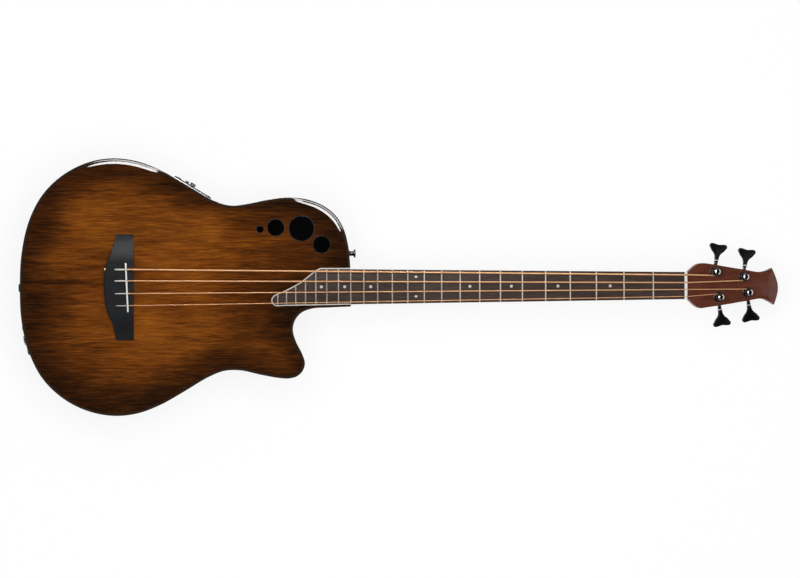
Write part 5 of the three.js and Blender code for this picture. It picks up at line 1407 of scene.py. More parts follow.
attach(bridge, "instrument")
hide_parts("bridge")

# Saddle. A thin white bone blade with a rounded, arched crest, standing loose in the bridge's
# slot on the strip of the pickup, which is the model's own.

PICKUP_HEIGHT = 0.0014
SADDLE_CREST = 0.0013
saddle_floor = SADDLE_SLOT_FLOOR + SEAT_GAP * 2 + PICKUP_HEIGHT
saddle_rings = []
for y in np.linspace(-SADDLE_LENGTH / 2, SADDLE_LENGTH / 2, 33):
    end = min(1, (SADDLE_LENGTH / 2 - abs(y)) / 0.003)
    crest = STRING_SADDLE_HEIGHT - SEAT_GAP - float(camber(y)) - 0.0012 * (1 - end) ** 2
    ring = [(-SADDLE_THICKNESS / 2, saddle_floor), (SADDLE_THICKNESS / 2, saddle_floor)]
    for step in range(9):
        angle = math.pi * step / 8
        rise = (SADDLE_CREST - SEAT_GAP) * math.sin(angle)
        ring.append((SADDLE_THICKNESS / 2 * math.cos(angle), crest - SADDLE_CREST + rise))
    saddle_rings.append([SADDLE_FRAME @ Vector((x, y, z)) for x, z in ring])
saddle = skinned("bone_saddle", saddle_rings, bone)
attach(saddle, "instrument")
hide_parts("saddle")

pickup_strip, tree, shader = new_finish("pickup_strip", (0.5, 0.33, 0.16), 0.35, 1.0)
handle(tree, shader, 0.004, 0.36, 0.2)
refinish("saddle_pickup", pickup_strip)

# Strings. Four steel cores wound with bronze wire, each held behind the bridge by a brass
# ball and coiled on its post. The winding is a fine ridge that runs round the string.

BALL_WAIST = 0.72
SADDLE_ROW, COIL_ROW = 3, 6

# Wound wire: a ridge that climbs round a string, from a UV map of turns and metres.
wound_wire, given, made = effect(
    "wound_wire", {"Along": None, "Wire Thickness": 0.0004}, ("Height",),
)
round_it, along_it, _ = wire(wound_wire, "ShaderNodeSeparateXYZ", {0: given["Along"]}).outputs
turns = reckon(wound_wire, "DIVIDE", along_it, given["Wire Thickness"])
climb = reckon(wound_wire, "PINGPONG", reckon(wound_wire, "ADD", turns, round_it), 1.0)
ridge = reckon(wound_wire, "SINE", reckon(wound_wire, "MULTIPLY", climb, math.pi / 2))
wound_wire.links.new(ridge, made["Height"])


def wound_finish(name, color, thickness):
    """A string's winding, with its wire's thickness."""
    finish, tree, shader = new_finish(name, color, 0.38, 0.4)
    winding = wire(tree, "ShaderNodeGroup", {
        "Along": wire(tree, "ShaderNodeUVMap", uv_map="along").outputs[0], "Wire Thickness": thickness,
    }, node_tree=wound_wire)
    bump(tree, shader, winding.outputs[0], thickness * 0.4, 0.7)
    handle(tree, shader, 0.05, 0.38, 0.16)
    return finish


def gather(name, meshes, *finishes):
    """Closed forms brought together as one piece. A mesh may come with its finish's number."""
    form = bmesh.new()
    for part in meshes:
        mesh, number = part if isinstance(part, tuple) else (part, 0)
        count = len(form.faces)
        form.from_mesh(mesh)
        form.faces.ensure_lookup_table()
        for face in form.faces[count:]:
            face.material_index = number
    piece = new_piece(name, bpy.data.meshes.new(name), *finishes)
    write_mesh(form, piece.data)
    return piece


brass_ball, tree, shader = new_finish("brass_ball", (0.72, 0.6, 0.38), 0.25, 1.0)
handle(tree, shader, 0.003, 0.45, 0.2)
grey_wrap, tree, shader = new_finish("grey_wrap", (0.74, 0.73, 0.69), 0.5)
pebble(tree, shader, 0.0005, 0.00005, 0.5, 0.12)
dark_silk, tree, shader = new_finish("dark_silk_wrap", (0.012, 0.011, 0.011), 0.6)
pebble(tree, shader, 0.0004, 0.00005, 0.6, 0.12)
ball_profile = [
    (0.9, 0), (1, 0.0003), (1, 0.0009), (BALL_WAIST, 0.0013), (BALL_WAIST, 0.0027), (1, 0.0031),
    (1, 0.0037), (0.9, BALL_LENGTH),
]
for name, (radius, *_) in strings.items():
    path = string_points(name)
    ball_place = Matrix.Translation((path[0].x - BALL_LENGTH / 2, path[0].y, path[0].z)) @ along_x
    ball = turned([(BALL_RADIUS * share, z) for share, z in ball_profile], ball_place, 24, "ball")
    wound = tube(f"wound_{name}", path, radius)
    string = gather(
        f"string_wire_{name}", [wound, (ball, 1)],
        wound_finish(f"bronze_winding_{name}", (0.77, 0.4, 0.185), radius * 0.42),
        brass_ball, grey_wrap, dark_silk,
    )
    for index in range(len(wound.polygons)):
        row = index // TUBE_SIDES
        number = 2 if row < SADDLE_ROW else 3 if row >= COIL_ROW else 0
        string.data.polygons[index].material_index = number
    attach(string, "instrument")
    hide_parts(f"string_{name}")

# Tuners. Each has a bushing and a post through the head, a gear housing behind it, and a
# two-lobed key on the worm's shaft. All are cast or turned, and plated black; the bright rim on
# each post's cap is a painted highlight.

POST_HEIGHT = 0.018
POST_NECK = 0.94
POST_CAP_RADIUS = 0.0049
POST_SLOT = (0.0029, 0.014)
POST_SLOT_DEPTH = 0.004
CAP_DEPTH = 0.0016
RIM_SHARE = 0.58
GEAR = (0.008, 0.003, 0.001)
BUSHING_FLANGE = (0.0078, 0.0018)
BUSHING_EASE = 0.0006
HOUSING_LENGTH = 0.020
HOUSING_DEPTH = 0.013
HOUSING_WALL = 0.0016
HOUSING_TOP = -HEAD_THICKNESS - SEAT_GAP
BARREL = (0.0033, 0.0182)
BARREL_WAIST = BARREL[0] * 0.88
COLLAR = (0.0036, 0.0013)
KEY_OFFSET = 0.0054
KEY_Z = HOUSING_TOP - 0.0078
KEY_SHAFT_RADIUS = 0.0022
WORM = (0.0026, 0.011)
KEY_LOBE = (0.0102, 0.0411, 0.004)
KEY_THICKNESS = 0.0064
KEY_DIP = 0.0018
KEY_BEVEL = 0.0022
KEY_LEANS = {1: -math.radians(9), -1: math.pi + math.radians(8.5)}
KEY_SHIFTS = {1: 0.0, -1: 0.0017}
key_flank = [
    (0.003, 0.0194), (0.0032, 0.022), (0.0036, 0.0246), (0.0046, 0.0276), (0.0066, 0.0306),
    (0.0098, 0.0336),
]
# Shares of a bushing's flange, outward and upward
flange_profile = [(1, 0), (1, 0.45), (0.975, 0.75), (0.92, 0.95), (0.86, 1)]
# Shares of a post's cap, outward, and how far they lie below its top
cap_profile = [
    (0.97, 0.002), (1, 0.0016), (1, 0.0014), (0.95, 0.001), (0.84, 0.0008), (0.74, 0.0004), (0.62, 0),
    (0.52, 0.0003), (0.42, 0.0011),
]
along_y = Matrix.Rotation(-math.pi / 2, 4, "X")


def plated(name, color, roughness, spread):
    """Plated metal whose gloss is a little smeared."""
    finish, tree, shader = new_finish(name, color, roughness, 1.0)
    handle(tree, shader, 0.006, roughness, spread)
    return finish


def rounded_block(low, high, radius, place, segments=3):
    """A box with every edge rounded, as a mesh."""
    form = box_form(low, high)
    bmesh.ops.bevel(
        form, geom=form.edges[:], offset=radius, segments=segments, profile=0.5,
        affect="EDGES", clamp_overlap=True,
    )
    bmesh.ops.transform(form, verts=form.verts, matrix=place)
    return settle(form, "block")


def key_outline():
    """The key's head, seen from above, with its neck at the start."""
    lobe_x, lobe_y, radius = KEY_LOBE
    leave = math.radians(-52)
    turn = [leave + (math.pi / 2 - leave) * step / 12 for step in range(13)]
    lobe = [(lobe_x + radius * math.cos(angle), lobe_y + radius * math.sin(angle)) for angle in turn]
    right = [*curve_through([*key_flank, lobe[0]], 4), *lobe[1:]]
    left = [(-x, y) for x, y in right][::-1]
    tip = lobe_y + radius
    dip = [(lobe_x, tip), (lobe_x * 0.3, tip), (0, tip - KEY_DIP * 2), (-lobe_x * 0.3, tip), (-lobe_x, tip)]
    return np.array([*right, *bezier(dip, 16)[1:-1], *left])


def tuner_frame(name):
    """The frame of a string's tuner: that of its post, turned so that Y runs to its key."""
    return post_frame(name) @ Matrix.Rotation(KEY_LEANS[strings[name][5]], 4, "Z")


black_chrome = plated("black_chrome", (0.07, 0.07, 0.074), 0.2, 0.16)
black_satin = plated("black_satin_plate", (0.024, 0.024, 0.026), 0.44, 0.14)
nylon_washer, tree, shader = new_finish("nylon_washer", (0.78, 0.77, 0.74), 0.4)
handle(tree, shader, 0.003, 0.4, 0.12)
# Bright metal for the outer rim of each post's cap: a painted highlight on the black post.
cap_rim_highlight = plated("painted_highlight_rim", (0.82, 0.81, 0.79), 0.2, 0.12)
outline = key_outline()
for name, (*_, side, _) in strings.items():
    place = tuner_frame(name)
    bore = POST_RADIUS + RUN_GAP
    reach, height = BUSHING_FLANGE
    flange_top = SEAT_GAP + height
    bushing = skinned(f"bushing_{name}", [hoop(radius, z, place, 56) for radius, z in [
        (bore, -HEAD_THICKNESS + SEAT_GAP), (BUSHING_SLEEVE_RADIUS, -HEAD_THICKNESS + SEAT_GAP),
        (BUSHING_SLEEVE_RADIUS, SEAT_GAP),
        *((reach * out, SEAT_GAP + height * up) for out, up in flange_profile),
        (bore + BUSHING_EASE, flange_top), (bore, flange_top - BUSHING_EASE),
    ]], black_chrome, around=True)
    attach(bushing, "instrument")
    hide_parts(f"tuner_bushing_{name}")

    gear_top = HOUSING_TOP - GEAR[2]
    post = new_piece(f"post_{name}", turned([
        (0.0005, gear_top - GEAR[1]), (GEAR[0], gear_top - GEAR[1]), (GEAR[0], gear_top),
        (POST_RADIUS, gear_top), (POST_RADIUS, WRAP_START_HEIGHT - 0.002),
        (POST_RADIUS * POST_NECK, WRAP_START_HEIGHT), (POST_RADIUS * POST_NECK, POST_HEIGHT - 0.003),
        (POST_RADIUS, POST_HEIGHT - 0.002),
        *((POST_CAP_RADIUS * out, POST_HEIGHT - down) for out, down in cap_profile),
        (0.0004, POST_HEIGHT - 0.0013),
    ], place, 48, "post"))
    carve(post, opening(
        POST_SLOT, POST_HEIGHT - POST_SLOT_DEPTH, POST_HEIGHT + THROUGH, place, room=0,
    ))
    coat(post, black_chrome, cap_rim_highlight, black_satin)
    # On each cap the outer rim takes the bright metal, a painted highlight, and the dish the darker satin
    # plate, painted shade: together they draw a C-shaped glint on the post's top.
    for face in post.data.polygons:
        spot = place.inverted() @ face.center
        out = math.hypot(spot.x, spot.y) / POST_CAP_RADIUS
        on_cap = spot.z > POST_HEIGHT - CAP_DEPTH
        face.material_index = 0 if not on_cap else 1 if out > RIM_SHARE else 2
    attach(post, f"post_{name}")
    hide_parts(f"tuner_post_{name}")

    inner = GEAR[0] + RUN_GAP * 2
    shell = new_piece(f"gear_housing_{name}", rounded_block(
        (-inner - HOUSING_WALL, -HOUSING_LENGTH / 2, HOUSING_TOP - HOUSING_DEPTH),
        (inner + HOUSING_WALL, HOUSING_LENGTH / 2, HOUSING_TOP), 0.0013, place, 4,
    ))
    carve(shell, opening(
        (inner * 2, HOUSING_LENGTH - HOUSING_WALL * 2), HOUSING_TOP - HOUSING_DEPTH + HOUSING_WALL,
        HOUSING_TOP + THROUGH, place, room=0,
    ))
    key_place = place @ Matrix.Translation((side * KEY_OFFSET, 0, KEY_Z))
    shaft_place = key_place @ along_y
    barrel_start = HOUSING_LENGTH / 2 - HOUSING_WALL
    barrel_end = BARREL[1] + KEY_SHIFTS[side]
    combine(shell, "UNION", [new_piece("cutter", turned([
        (BARREL[0], barrel_start), (BARREL[0], HOUSING_LENGTH / 2 + 0.002),
        (BARREL_WAIST, HOUSING_LENGTH / 2 + 0.0026), (BARREL_WAIST, barrel_end - 0.0016),
        (BARREL[0], barrel_end - 0.001), (BARREL[0], barrel_end - SEAT_GAP),
    ], shaft_place, 36))])
    carve(shell, rod(
        KEY_SHAFT_RADIUS + RUN_GAP, barrel_start - 0.003, barrel_end + THROUGH, shaft_place, 28,
    ))
    coat(shell, black_chrome)
    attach(shell, "instrument")
    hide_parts(f"tuner_housing_{name}")

    blade = []
    for step in range(-6, 7):
        lift = step / 6
        bulge = max(0, abs(lift) - 0.3) / 0.7
        ring = inset(outline, KEY_BEVEL * 0.62 * (1 - math.sqrt(max(0, 1 - bulge ** 2.4))))
        z = KEY_THICKNESS / 2 * lift
        blade.append([key_place @ Vector((x, y + KEY_SHIFTS[side], z)) for x, y in ring])
    start = barrel_end + COLLAR[1]
    shaft = turned([
        (0.0004, -WORM[1] / 2), (WORM[0], -WORM[1] / 2), (WORM[0], WORM[1] / 2),
        (KEY_SHAFT_RADIUS, WORM[1] / 2), (KEY_SHAFT_RADIUS, start + 0.002),
    ], shaft_place, 24, "shaft")
    collar = turned([
        (KEY_SHAFT_RADIUS, barrel_end), (COLLAR[0] * 0.95, barrel_end), (COLLAR[0], barrel_end + 0.0002),
        (COLLAR[0], start - 0.0002), (COLLAR[0] * 0.95, start), (KEY_SHAFT_RADIUS, start),
    ], shaft_place, 36, "collar")
    key = gather(
        f"key_head_{name}", [settle(closed_skin(blade), "blade", 50), shaft, (collar, 1)],
        black_satin, nylon_washer,
    )
    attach(key, f"key_{name}")
    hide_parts(f"tuner_key_{name}")

# Housing screws. Two small round-headed screws hold each gear housing to the back of the head,
# through ears on the side away from its key's shaft.

EAR_PLACE = (0.011, 0.0066)
EAR_RADIUS = 0.0028
EAR_THICKNESS = 0.0016
EAR_EASE = 0.0002


def facing(tree):
    """The turn that a point's outward and sideways vectors give."""
    return wire(tree, "FunctionNodeAxesToRotation", {
        "Primary Axis": fact(tree, "outward", "FLOAT_VECTOR"),
        "Secondary Axis": fact(tree, "sideways", "FLOAT_VECTOR"),
    }, primary_axis="Z", secondary_axis="X").outputs[0]


def spoke(angle):
    return Vector((math.cos(angle), math.sin(angle), 0))


screw_tree, given, made = geometry_tree("housing_screws", {
    "Head Radius": 0.0014, "Head Height": 0.0008, "Slot Width": 0.0004,
})
head_ball = wire(screw_tree, "GeometryNodeMeshUVSphere", {
    "Segments": 20, "Rings": 10, "Radius": given["Head Radius"],
})
x, y, z = coordinates(screw_tree)
flatness = reckon(screw_tree, "DIVIDE", given["Head Height"], given["Head Radius"])
slot_reach = reckon(screw_tree, "MULTIPLY", given["Slot Width"], 0.75)
in_slot = reckon(screw_tree, "LESS_THAN", reckon(screw_tree, "ABSOLUTE", x), slot_reach)
left_high = reckon(screw_tree, "MULTIPLY_ADD", in_slot, -0.45, 1.0)
dome = reckon(screw_tree, "MULTIPLY", reckon(screw_tree, "MULTIPLY", z, flatness), left_high)
screw = wire(screw_tree, "GeometryNodeSetPosition", {
    "Geometry": head_ball.outputs["Mesh"], "Position": as_vector(screw_tree, x, y, dome),
})
screws = set_on_points(screw_tree, given["Geometry"], screw.outputs[0], Rotation=facing(screw_tree))
end_tree(screw_tree, made, screws, black_chrome)

ears, screw_places, screw_out, screw_side = [], [], [], []
for name, (*_, across, side, _) in strings.items():
    place = tuner_frame(name)
    turn = place.to_3x3()
    for end in (-1, 1):
        x, y = -side * EAR_PLACE[0], end * EAR_PLACE[1]
        ears.append(turned([
            (EAR_RADIUS - EAR_EASE, HOUSING_TOP - EAR_THICKNESS),
            (EAR_RADIUS, HOUSING_TOP - EAR_THICKNESS + EAR_EASE), (EAR_RADIUS, HOUSING_TOP),
        ], place @ Matrix.Translation((x, y, 0)), 24, "ear"))
        screw_places.append(place @ Vector((x, y, HOUSING_TOP - EAR_THICKNESS - EAR_EASE)))
        screw_out.append(turn @ Vector((0, 0, -1)))
        screw_side.append(turn @ spoke(0.6 + end + across))
ear_piece = gather("housing_ears", ears, black_chrome)
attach(ear_piece, "instrument")
screws = grow("housing_screws", points_mesh(
    "housing_screws", screw_places, outward=screw_out, sideways=screw_side,
), screw_tree, {"Head Radius": 0.0018, "Head Height": 0.0011, "Slot Width": 0.0005})
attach(screws, "instrument")

# Strap buttons. Turned metal buttons, plated black, each standing on a round foot and held to
# the body's end by a cross-headed wood screw through its middle.

BUTTON_FLANGE = (0.0068, 0.003)
BUTTON_WAIST_RADIUS = 0.0036
BUTTON_LENGTH = 0.0124
BUTTON_SCREW = (0.002, 0.014)
CROSS_ARM = (0.0042, 0.0008)
CROSS_DEPTH = 0.0013
button_foot = [(0.0058, 0.0006), (0.006, 0.0012), (0.0052, 0.0019)]


def button_place(node, side):
    """The middle of a strap button's outer face, from its own solid."""
    low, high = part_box(node)
    y, z = (low[1] + high[1]) / 2, (low[2] + high[2]) / 2
    face = (high[0] if side > 0 else low[0]) - side * BUTTON_LENGTH
    return Matrix.Translation((face, y, z)) @ Matrix.Rotation(side * math.pi / 2, 4, "Y")


for node, side in (("strap_button_shoulder", 1), ("strap_button_end", -1)):
    place = button_place(node, side)
    radius, thickness = BUTTON_FLANGE
    waist = BUTTON_LENGTH - thickness
    button = new_piece(f"{node}_turned", turned([
        (0.0005, -BUTTON_SCREW[1]), (BUTTON_SCREW[0], -BUTTON_SCREW[1] + 0.003),
        (BUTTON_SCREW[0], 0.0004), *button_foot,
        (BUTTON_WAIST_RADIUS + 0.0003, 0.0034), (BUTTON_WAIST_RADIUS, 0.0055),
        (BUTTON_WAIST_RADIUS + 0.0002, waist - 0.0006), (radius * 0.8, waist - 0.0001),
        (radius * 0.95, waist + 0.0004), (radius, waist + 0.0012),
        (radius * 0.96, BUTTON_LENGTH - 0.0007), (radius * 0.8, BUTTON_LENGTH - 0.0001),
        (0.0036, BUTTON_LENGTH), (0.0033, BUTTON_LENGTH - 0.0005), (0.0028, BUTTON_LENGTH - 0.0008),
        (0.0004, BUTTON_LENGTH - 0.0002),
    ], place, 48, "button"))
    carve(button, *(
        opening(arm, BUTTON_LENGTH - CROSS_DEPTH, BUTTON_LENGTH + 0.001, place, room=0)
        for arm in (CROSS_ARM, CROSS_ARM[::-1])
    ))
    coat(button, black_chrome)
    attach(button, "instrument")
    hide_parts(node)

# Output jack. A moulded black plate fits the curve of the bowl, held by four screws, with a
# turned metal socket and its hexagonal nut through the middle.

JACK_PLATE = (0.047, 0.030)
JACK_PLATE_DEPTH = 0.016
JACK_NUT = (0.0075, 0.0022)
JACK_SOCKET_RADIUS = 0.0033
JACK_SOCKET_FLOOR = 0.003
JACK_LENGTH = 0.034
BARREL_EASE = 0.0004
PLATE_EASE = 0.0012


def moulded_plate(name, size, corner, depth, place):
    """A plate with round corners and its upper edge rounded over."""
    outline = []
    for quarter, (side_x, side_y) in enumerate(((1, 1), (-1, 1), (-1, -1), (1, -1))):
        for step in range(7):
            angle = math.pi / 2 * (quarter + step / 6)
            outline.append((
                side_x * (size[0] / 2 - corner) + corner * math.cos(angle),
                side_y * (size[1] / 2 - corner) + corner * math.sin(angle),
            ))
    rings = [(0.0, -depth)]
    for step in range(5):
        angle = math.pi / 2 * step / 4
        rings.append((PLATE_EASE * (1 - math.cos(angle)), -PLATE_EASE * (1 - math.sin(angle))))
    return skinned(name, [
        [place @ Vector((x, y, z)) for x, y in inset(np.array(outline), distance)]
        for distance, z in rings
    ])


moulded_black, tree, shader = new_finish("moulded_black", (0.009, 0.009, 0.0095), 0.36, specular=0.2)
pebble(tree, shader, 0.0006, 0.00004, 0.5, 0.12)
jack_plate = moulded_plate("jack_plate_moulding", JACK_PLATE, 0.005, JACK_PLATE_DEPTH, JACK_FRAME)
carve(jack_plate, grown_bowl(), rod(BARREL_RADIUS + SEAT_GAP, -JACK_LENGTH, THROUGH, JACK_FRAME))
coat(jack_plate, moulded_black)
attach(jack_plate, "instrument")
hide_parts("jack_plate")

nut_top = JACK_NUT[1] + SEAT_GAP
socket_wall = new_piece("cutter", turned([
    (BARREL_RADIUS - BARREL_EASE, -JACK_LENGTH), (BARREL_RADIUS, -JACK_LENGTH + BARREL_EASE),
    (BARREL_RADIUS, nut_top - 0.0005), (BARREL_RADIUS - BARREL_EASE, nut_top),
], JACK_FRAME, 48))
carve(socket_wall, rod(
    JACK_SOCKET_RADIUS, -JACK_LENGTH + JACK_SOCKET_FLOOR, nut_top + THROUGH, JACK_FRAME,
))
hexagon = turned([
    (JACK_NUT[0] * 0.96, SEAT_GAP), (JACK_NUT[0], SEAT_GAP + 0.0003),
    (JACK_NUT[0], nut_top - 0.0008), (JACK_NUT[0] * 0.9, nut_top - 0.0003),
], JACK_FRAME, 6)
jack = gather("jack_socket", [socket_wall.data, hexagon], plain_steel)
bpy.data.objects.remove(socket_wall)
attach(jack, "instrument")
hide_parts("output_jack")


def side_screws(name, place, reach_x, reach_y, radius):
    """Screws in the four corners of a plate in the bowl's side."""
    turn = place.to_3x3()
    corners = [(side_x * reach_x, side_y * reach_y) for side_x in (-1, 1) for side_y in (-1, 1)]
    piece = grow(name, points_mesh(
        name, [place @ Vector((x, y, 0.0001)) for x, y in corners],
        outward=[turn @ Vector((0, 0, 1))] * 4,
        sideways=[turn @ spoke(0.7 + 1.9 * number) for number in range(4)],
    ), screw_tree, {"Head Radius": radius, "Head Height": radius * 0.26, "Slot Width": radius * 0.28})
    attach(piece, "instrument")


side_screws("jack_plate_screws", JACK_FRAME, 0.0185, 0.0105, 0.0019)

# Preamp. A moulded panel is let into the bowl's bass side, with a volume knob, three tone
# sliders, a tuner button and a dark display. Its chassis and battery lie behind it.

PREAMP_BLOCK = 0.018
PREAMP_PLATE = 0.0025
PREAMP_SKIRT = 0.0025
KNOB = (0.0044, 0.0047)
KNOB_PLACE = (0.0016, 0.012)
STEM_RADIUS = 0.0016
STEM_LENGTH = 0.007
SLIDER_X = 0.0115
SLIDER_HEIGHTS = (0.0045, -0.004, -0.0125)
SLIDER_CAP = (0.0062, 0.004, 0.003)
SLIDER_STEM = 0.0016
SLIDER_TRAVEL = 0.006
TUNER_BUTTON = (0.025, 0.0034, 0.0009)
BUTTON_TRAVEL = 0.0008
DISPLAY_PLACE = (-0.018, 0)
DISPLAY = (0.020, 0.014)
DISPLAY_DEPTH = 0.0014
LIP_SLOPE = math.radians(12)
LIP_REACH = 0.0325
LIP_FOOT = (-0.0062, 0.0200)
LIP_HEAD = (-0.0021, 0.0204)
KNOB_RIBS = 24
RIB_DEPTH = 0.035
TICK_RISE = 0.0032
TICK_RING = 0.0058
# Heights up the knob, and shares of its radius
knob_profile = [
    (SEAT_GAP, 0.97), (SEAT_GAP + 0.0003, 1.0), (0.0011, 1.0), (0.0014, 0.985), (0.0040, 0.925),
    (0.0044, 0.9), (KNOB[1], 0.82),
]
knob_place = PREAMP_FRAME @ Matrix.Translation((*KNOB_PLACE, 0))
button_spot = PREAMP_FRAME @ Matrix.Translation((TUNER_BUTTON[0], 0, 0))
slider_way = (SLIDER_STEM + SLIDER_TRAVEL * 2, SLIDER_STEM)
panel = moulded_plate("preamp_panel_moulding", PREAMP_SIZE, 0.006, PREAMP_BLOCK, PREAMP_FRAME)
carve(
    panel,
    opening(PREAMP_SIZE, -PREAMP_BLOCK - THROUGH, -PREAMP_PLATE, PREAMP_FRAME, room=-PREAMP_SKIRT),
    grown_bowl(),
    rod(STEM_RADIUS + RUN_GAP, -0.01, THROUGH, knob_place, 28),
    rod(TUNER_BUTTON[1] + RUN_GAP, -0.01, THROUGH, button_spot, 36),
    opening(DISPLAY, -DISPLAY_DEPTH - SEAT_GAP, THROUGH, PREAMP_FRAME, DISPLAY_PLACE),
    *(opening(slider_way, -0.01, THROUGH, PREAMP_FRAME, (SLIDER_X, y), RUN_GAP) for y in SLIDER_HEIGHTS),
)
coat(panel, moulded_black)
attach(panel, "instrument")
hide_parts("preamp_panel")
lip_rise = (LIP_HEAD[0] - LIP_FOOT[0]) * math.tan(LIP_SLOPE)
lip = skinned("preamp_lip", [
    [PREAMP_FRAME @ Vector((x, y, z)) for z, y in (
        LIP_FOOT, (LIP_HEAD[0], LIP_FOOT[1]), LIP_HEAD, (LIP_FOOT[0], LIP_HEAD[1] + lip_rise),
    )]
    for x in (-LIP_REACH, 0, LIP_REACH)
])
carve(lip, grown_bowl())
coat(lip, lacquer("black_lacquer", (0.008, 0.007, 0.0065)))
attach(lip, "instrument")
side_screws("preamp_screws", PREAMP_FRAME, 0.0285, 0.0155, 0.0017)

knob_hoops = []
for height, share in knob_profile:
    depth = RIB_DEPTH if 0.0013 < height < 0.0043 else 0
    ring = []
    for step in range(144):
        angle = 2 * math.pi * step / 144
        radius = KNOB[0] * share * (1 - depth * (0.5 + 0.5 * math.cos(KNOB_RIBS * angle)))
        ring.append(knob_place @ (spoke(angle) * radius + Vector((0, 0, height))))
    knob_hoops.append(ring)
stem = turned([(STEM_RADIUS, -STEM_LENGTH), (STEM_RADIUS, 0.001)], knob_place, 24, "stem")
pointer = rounded_block(
    (-0.0003, 0.0008, KNOB[1] - 0.0004), (0.0003, 0.0035, KNOB[1] + 0.00002), 0.0001, knob_place, 1,
)
soft_black, tree, shader = new_finish("soft_black", (0.015, 0.015, 0.016), 0.5)
pebble(tree, shader, 0.0004, 0.00003, 0.5, 0.12)
white_paint, tree, shader = new_finish("white_paint", (0.75, 0.75, 0.73), 0.45)
handle(tree, shader, 0.002, 0.45, 0.15)
knob = gather(
    "volume_knob_ribbed", [settle(closed_skin(knob_hoops), "knob"), stem, (pointer, 1)],
    soft_black, white_paint,
)
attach(knob, "volume")
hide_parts("volume_knob")

length, height, proud = SLIDER_CAP
for number, y in enumerate(SLIDER_HEIGHTS, 1):
    place = PREAMP_FRAME @ Matrix.Translation((SLIDER_X, y, 0))
    cap = rounded_block((-length / 2, -height / 2, SEAT_GAP), (length / 2, height / 2, proud), 0.0005, place)
    leg = rounded_block(
        (-SLIDER_STEM / 2, -SLIDER_STEM / 2, -STEM_LENGTH), (SLIDER_STEM / 2, SLIDER_STEM / 2, 0.001),
        0.0001, place, 1,
    )
    line = rounded_block(
        (-0.0003, -height / 2 + 0.0005, proud - 0.0004), (0.0003, height / 2 - 0.0005, proud + 0.00002),
        0.0001, place, 1,
    )
    slider = gather(f"tone_cap_{number}", [cap, leg, (line, 1)], soft_black, white_paint)
    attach(slider, f"tone_{number}")
    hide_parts(f"tone_slider_{number}")

_, radius, proud = TUNER_BUTTON
button_foot_z = BUTTON_TRAVEL - PREAMP_PLATE
button_cap = new_piece("tuner_button_cap", turned([
    (radius - 0.0002, button_foot_z), (radius, button_foot_z + 0.0002), (radius, proud - 0.0004),
    (radius - 0.0004, proud), (radius * 0.6, proud - 0.0002), (0.0003, proud - 0.0004),
], button_spot, 40, "button"), soft_black)
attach(button_cap, "tuner_switch")
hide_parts("tuner_button")

display_glass, tree, shader = new_finish("display_glass", (0.02, 0.022, 0.02), 0.08)
tint(tree, shader, tones(tree, noise(tree, object_place(tree), 900.0, 1.0)[0], [
    (0.35, (0.018, 0.021, 0.019)), (0.65, (0.026, 0.029, 0.026)),
]))
handle(tree, shader, 0.006, 0.1, 0.08)
display = new_piece("display_window", rounded_block(
    (DISPLAY_PLACE[0] - DISPLAY[0] / 2, -DISPLAY[1] / 2, -DISPLAY_DEPTH),
    (DISPLAY_PLACE[0] + DISPLAY[0] / 2, DISPLAY[1] / 2, -SEAT_GAP), 0.0003, PREAMP_FRAME, 2,
), display_glass)
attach(display, "instrument")
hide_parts("tuner_display")

# Scale ticks: short white strokes printed beside the sliders and round the knob.
tree, given, made = geometry_tree("scale_ticks", {
    "Tick Length": 0.001, "Tick Width": 0.0002, "Ink Depth": 0.00004,
})
stroke = wire(tree, "GeometryNodeMeshCube", {
    "Size": as_vector(tree, given["Tick Length"], given["Tick Width"], given["Ink Depth"]),
})
strokes = set_on_points(tree, given["Geometry"], stroke.outputs["Mesh"], Rotation=facing(tree))
end_tree(tree, made, strokes, white_paint)
turn = PREAMP_FRAME.to_3x3()
tick_places, tick_sides = [], []
for y in SLIDER_HEIGHTS:
    for step in range(-2, 3):
        tick_places.append(PREAMP_FRAME @ Vector((SLIDER_X + step * SLIDER_TRAVEL / 2, y + TICK_RISE, 0)))
        tick_sides.append(turn @ Vector((0, 1, 0)))
for step in range(11):
    out = spoke(math.radians(-60 + 30 * step))
    tick_places.append(PREAMP_FRAME @ (Vector((*KNOB_PLACE, 0)) + out * TICK_RING))
    tick_sides.append(turn @ out)
ticks = grow("scale_ticks", points_mesh(
    "scale_ticks", tick_places, outward=[turn @ Vector((0, 0, 1))] * len(tick_places),
    sideways=tick_sides,
), tree, {"Tick Length": 0.0011, "Tick Width": 0.00022, "Ink Depth": 0.00006})
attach(ticks, "instrument")

chassis_plastic, tree, shader = new_finish("chassis_plastic", (0.022, 0.022, 0.023), 0.45)
pebble(tree, shader, 0.0008, 0.00004, 0.45, 0.12)
refinish("preamp_chassis", chassis_plastic)
battery_case, tree, shader = new_finish("battery_case", (0.03, 0.03, 0.032), 0.4)
handle(tree, shader, 0.01, 0.4, 0.2)
refinish("battery", battery_case)

# Leads. Thin rubber-covered leads are fixed inside the body, from the pickup and from the
# output jack to the back of the preamp.

LEAD_RADIUS = 0.0015
BRACE_HEIGHT = 0.012
BATTERY_HEIGHT = 0.026
preamp_back = -PREAMP_PLATE - SEAT_GAP * 2 - CHASSIS_DEPTH
lead_rubber, tree, shader = new_finish("lead_rubber", (0.02, 0.02, 0.02), 0.6)
pebble(tree, shader, 0.0005, 0.00003, 0.6, 0.1)


def lead_way(shares):
    return [Vector((*on_body(x, y), z * BOWL_DEPTH)) for x, y, z in shares]


def lead_end(x, place, z):
    return [place @ Vector((x, 0, z - LEAD_RADIUS * 3)), place @ Vector((x, 0, z))]


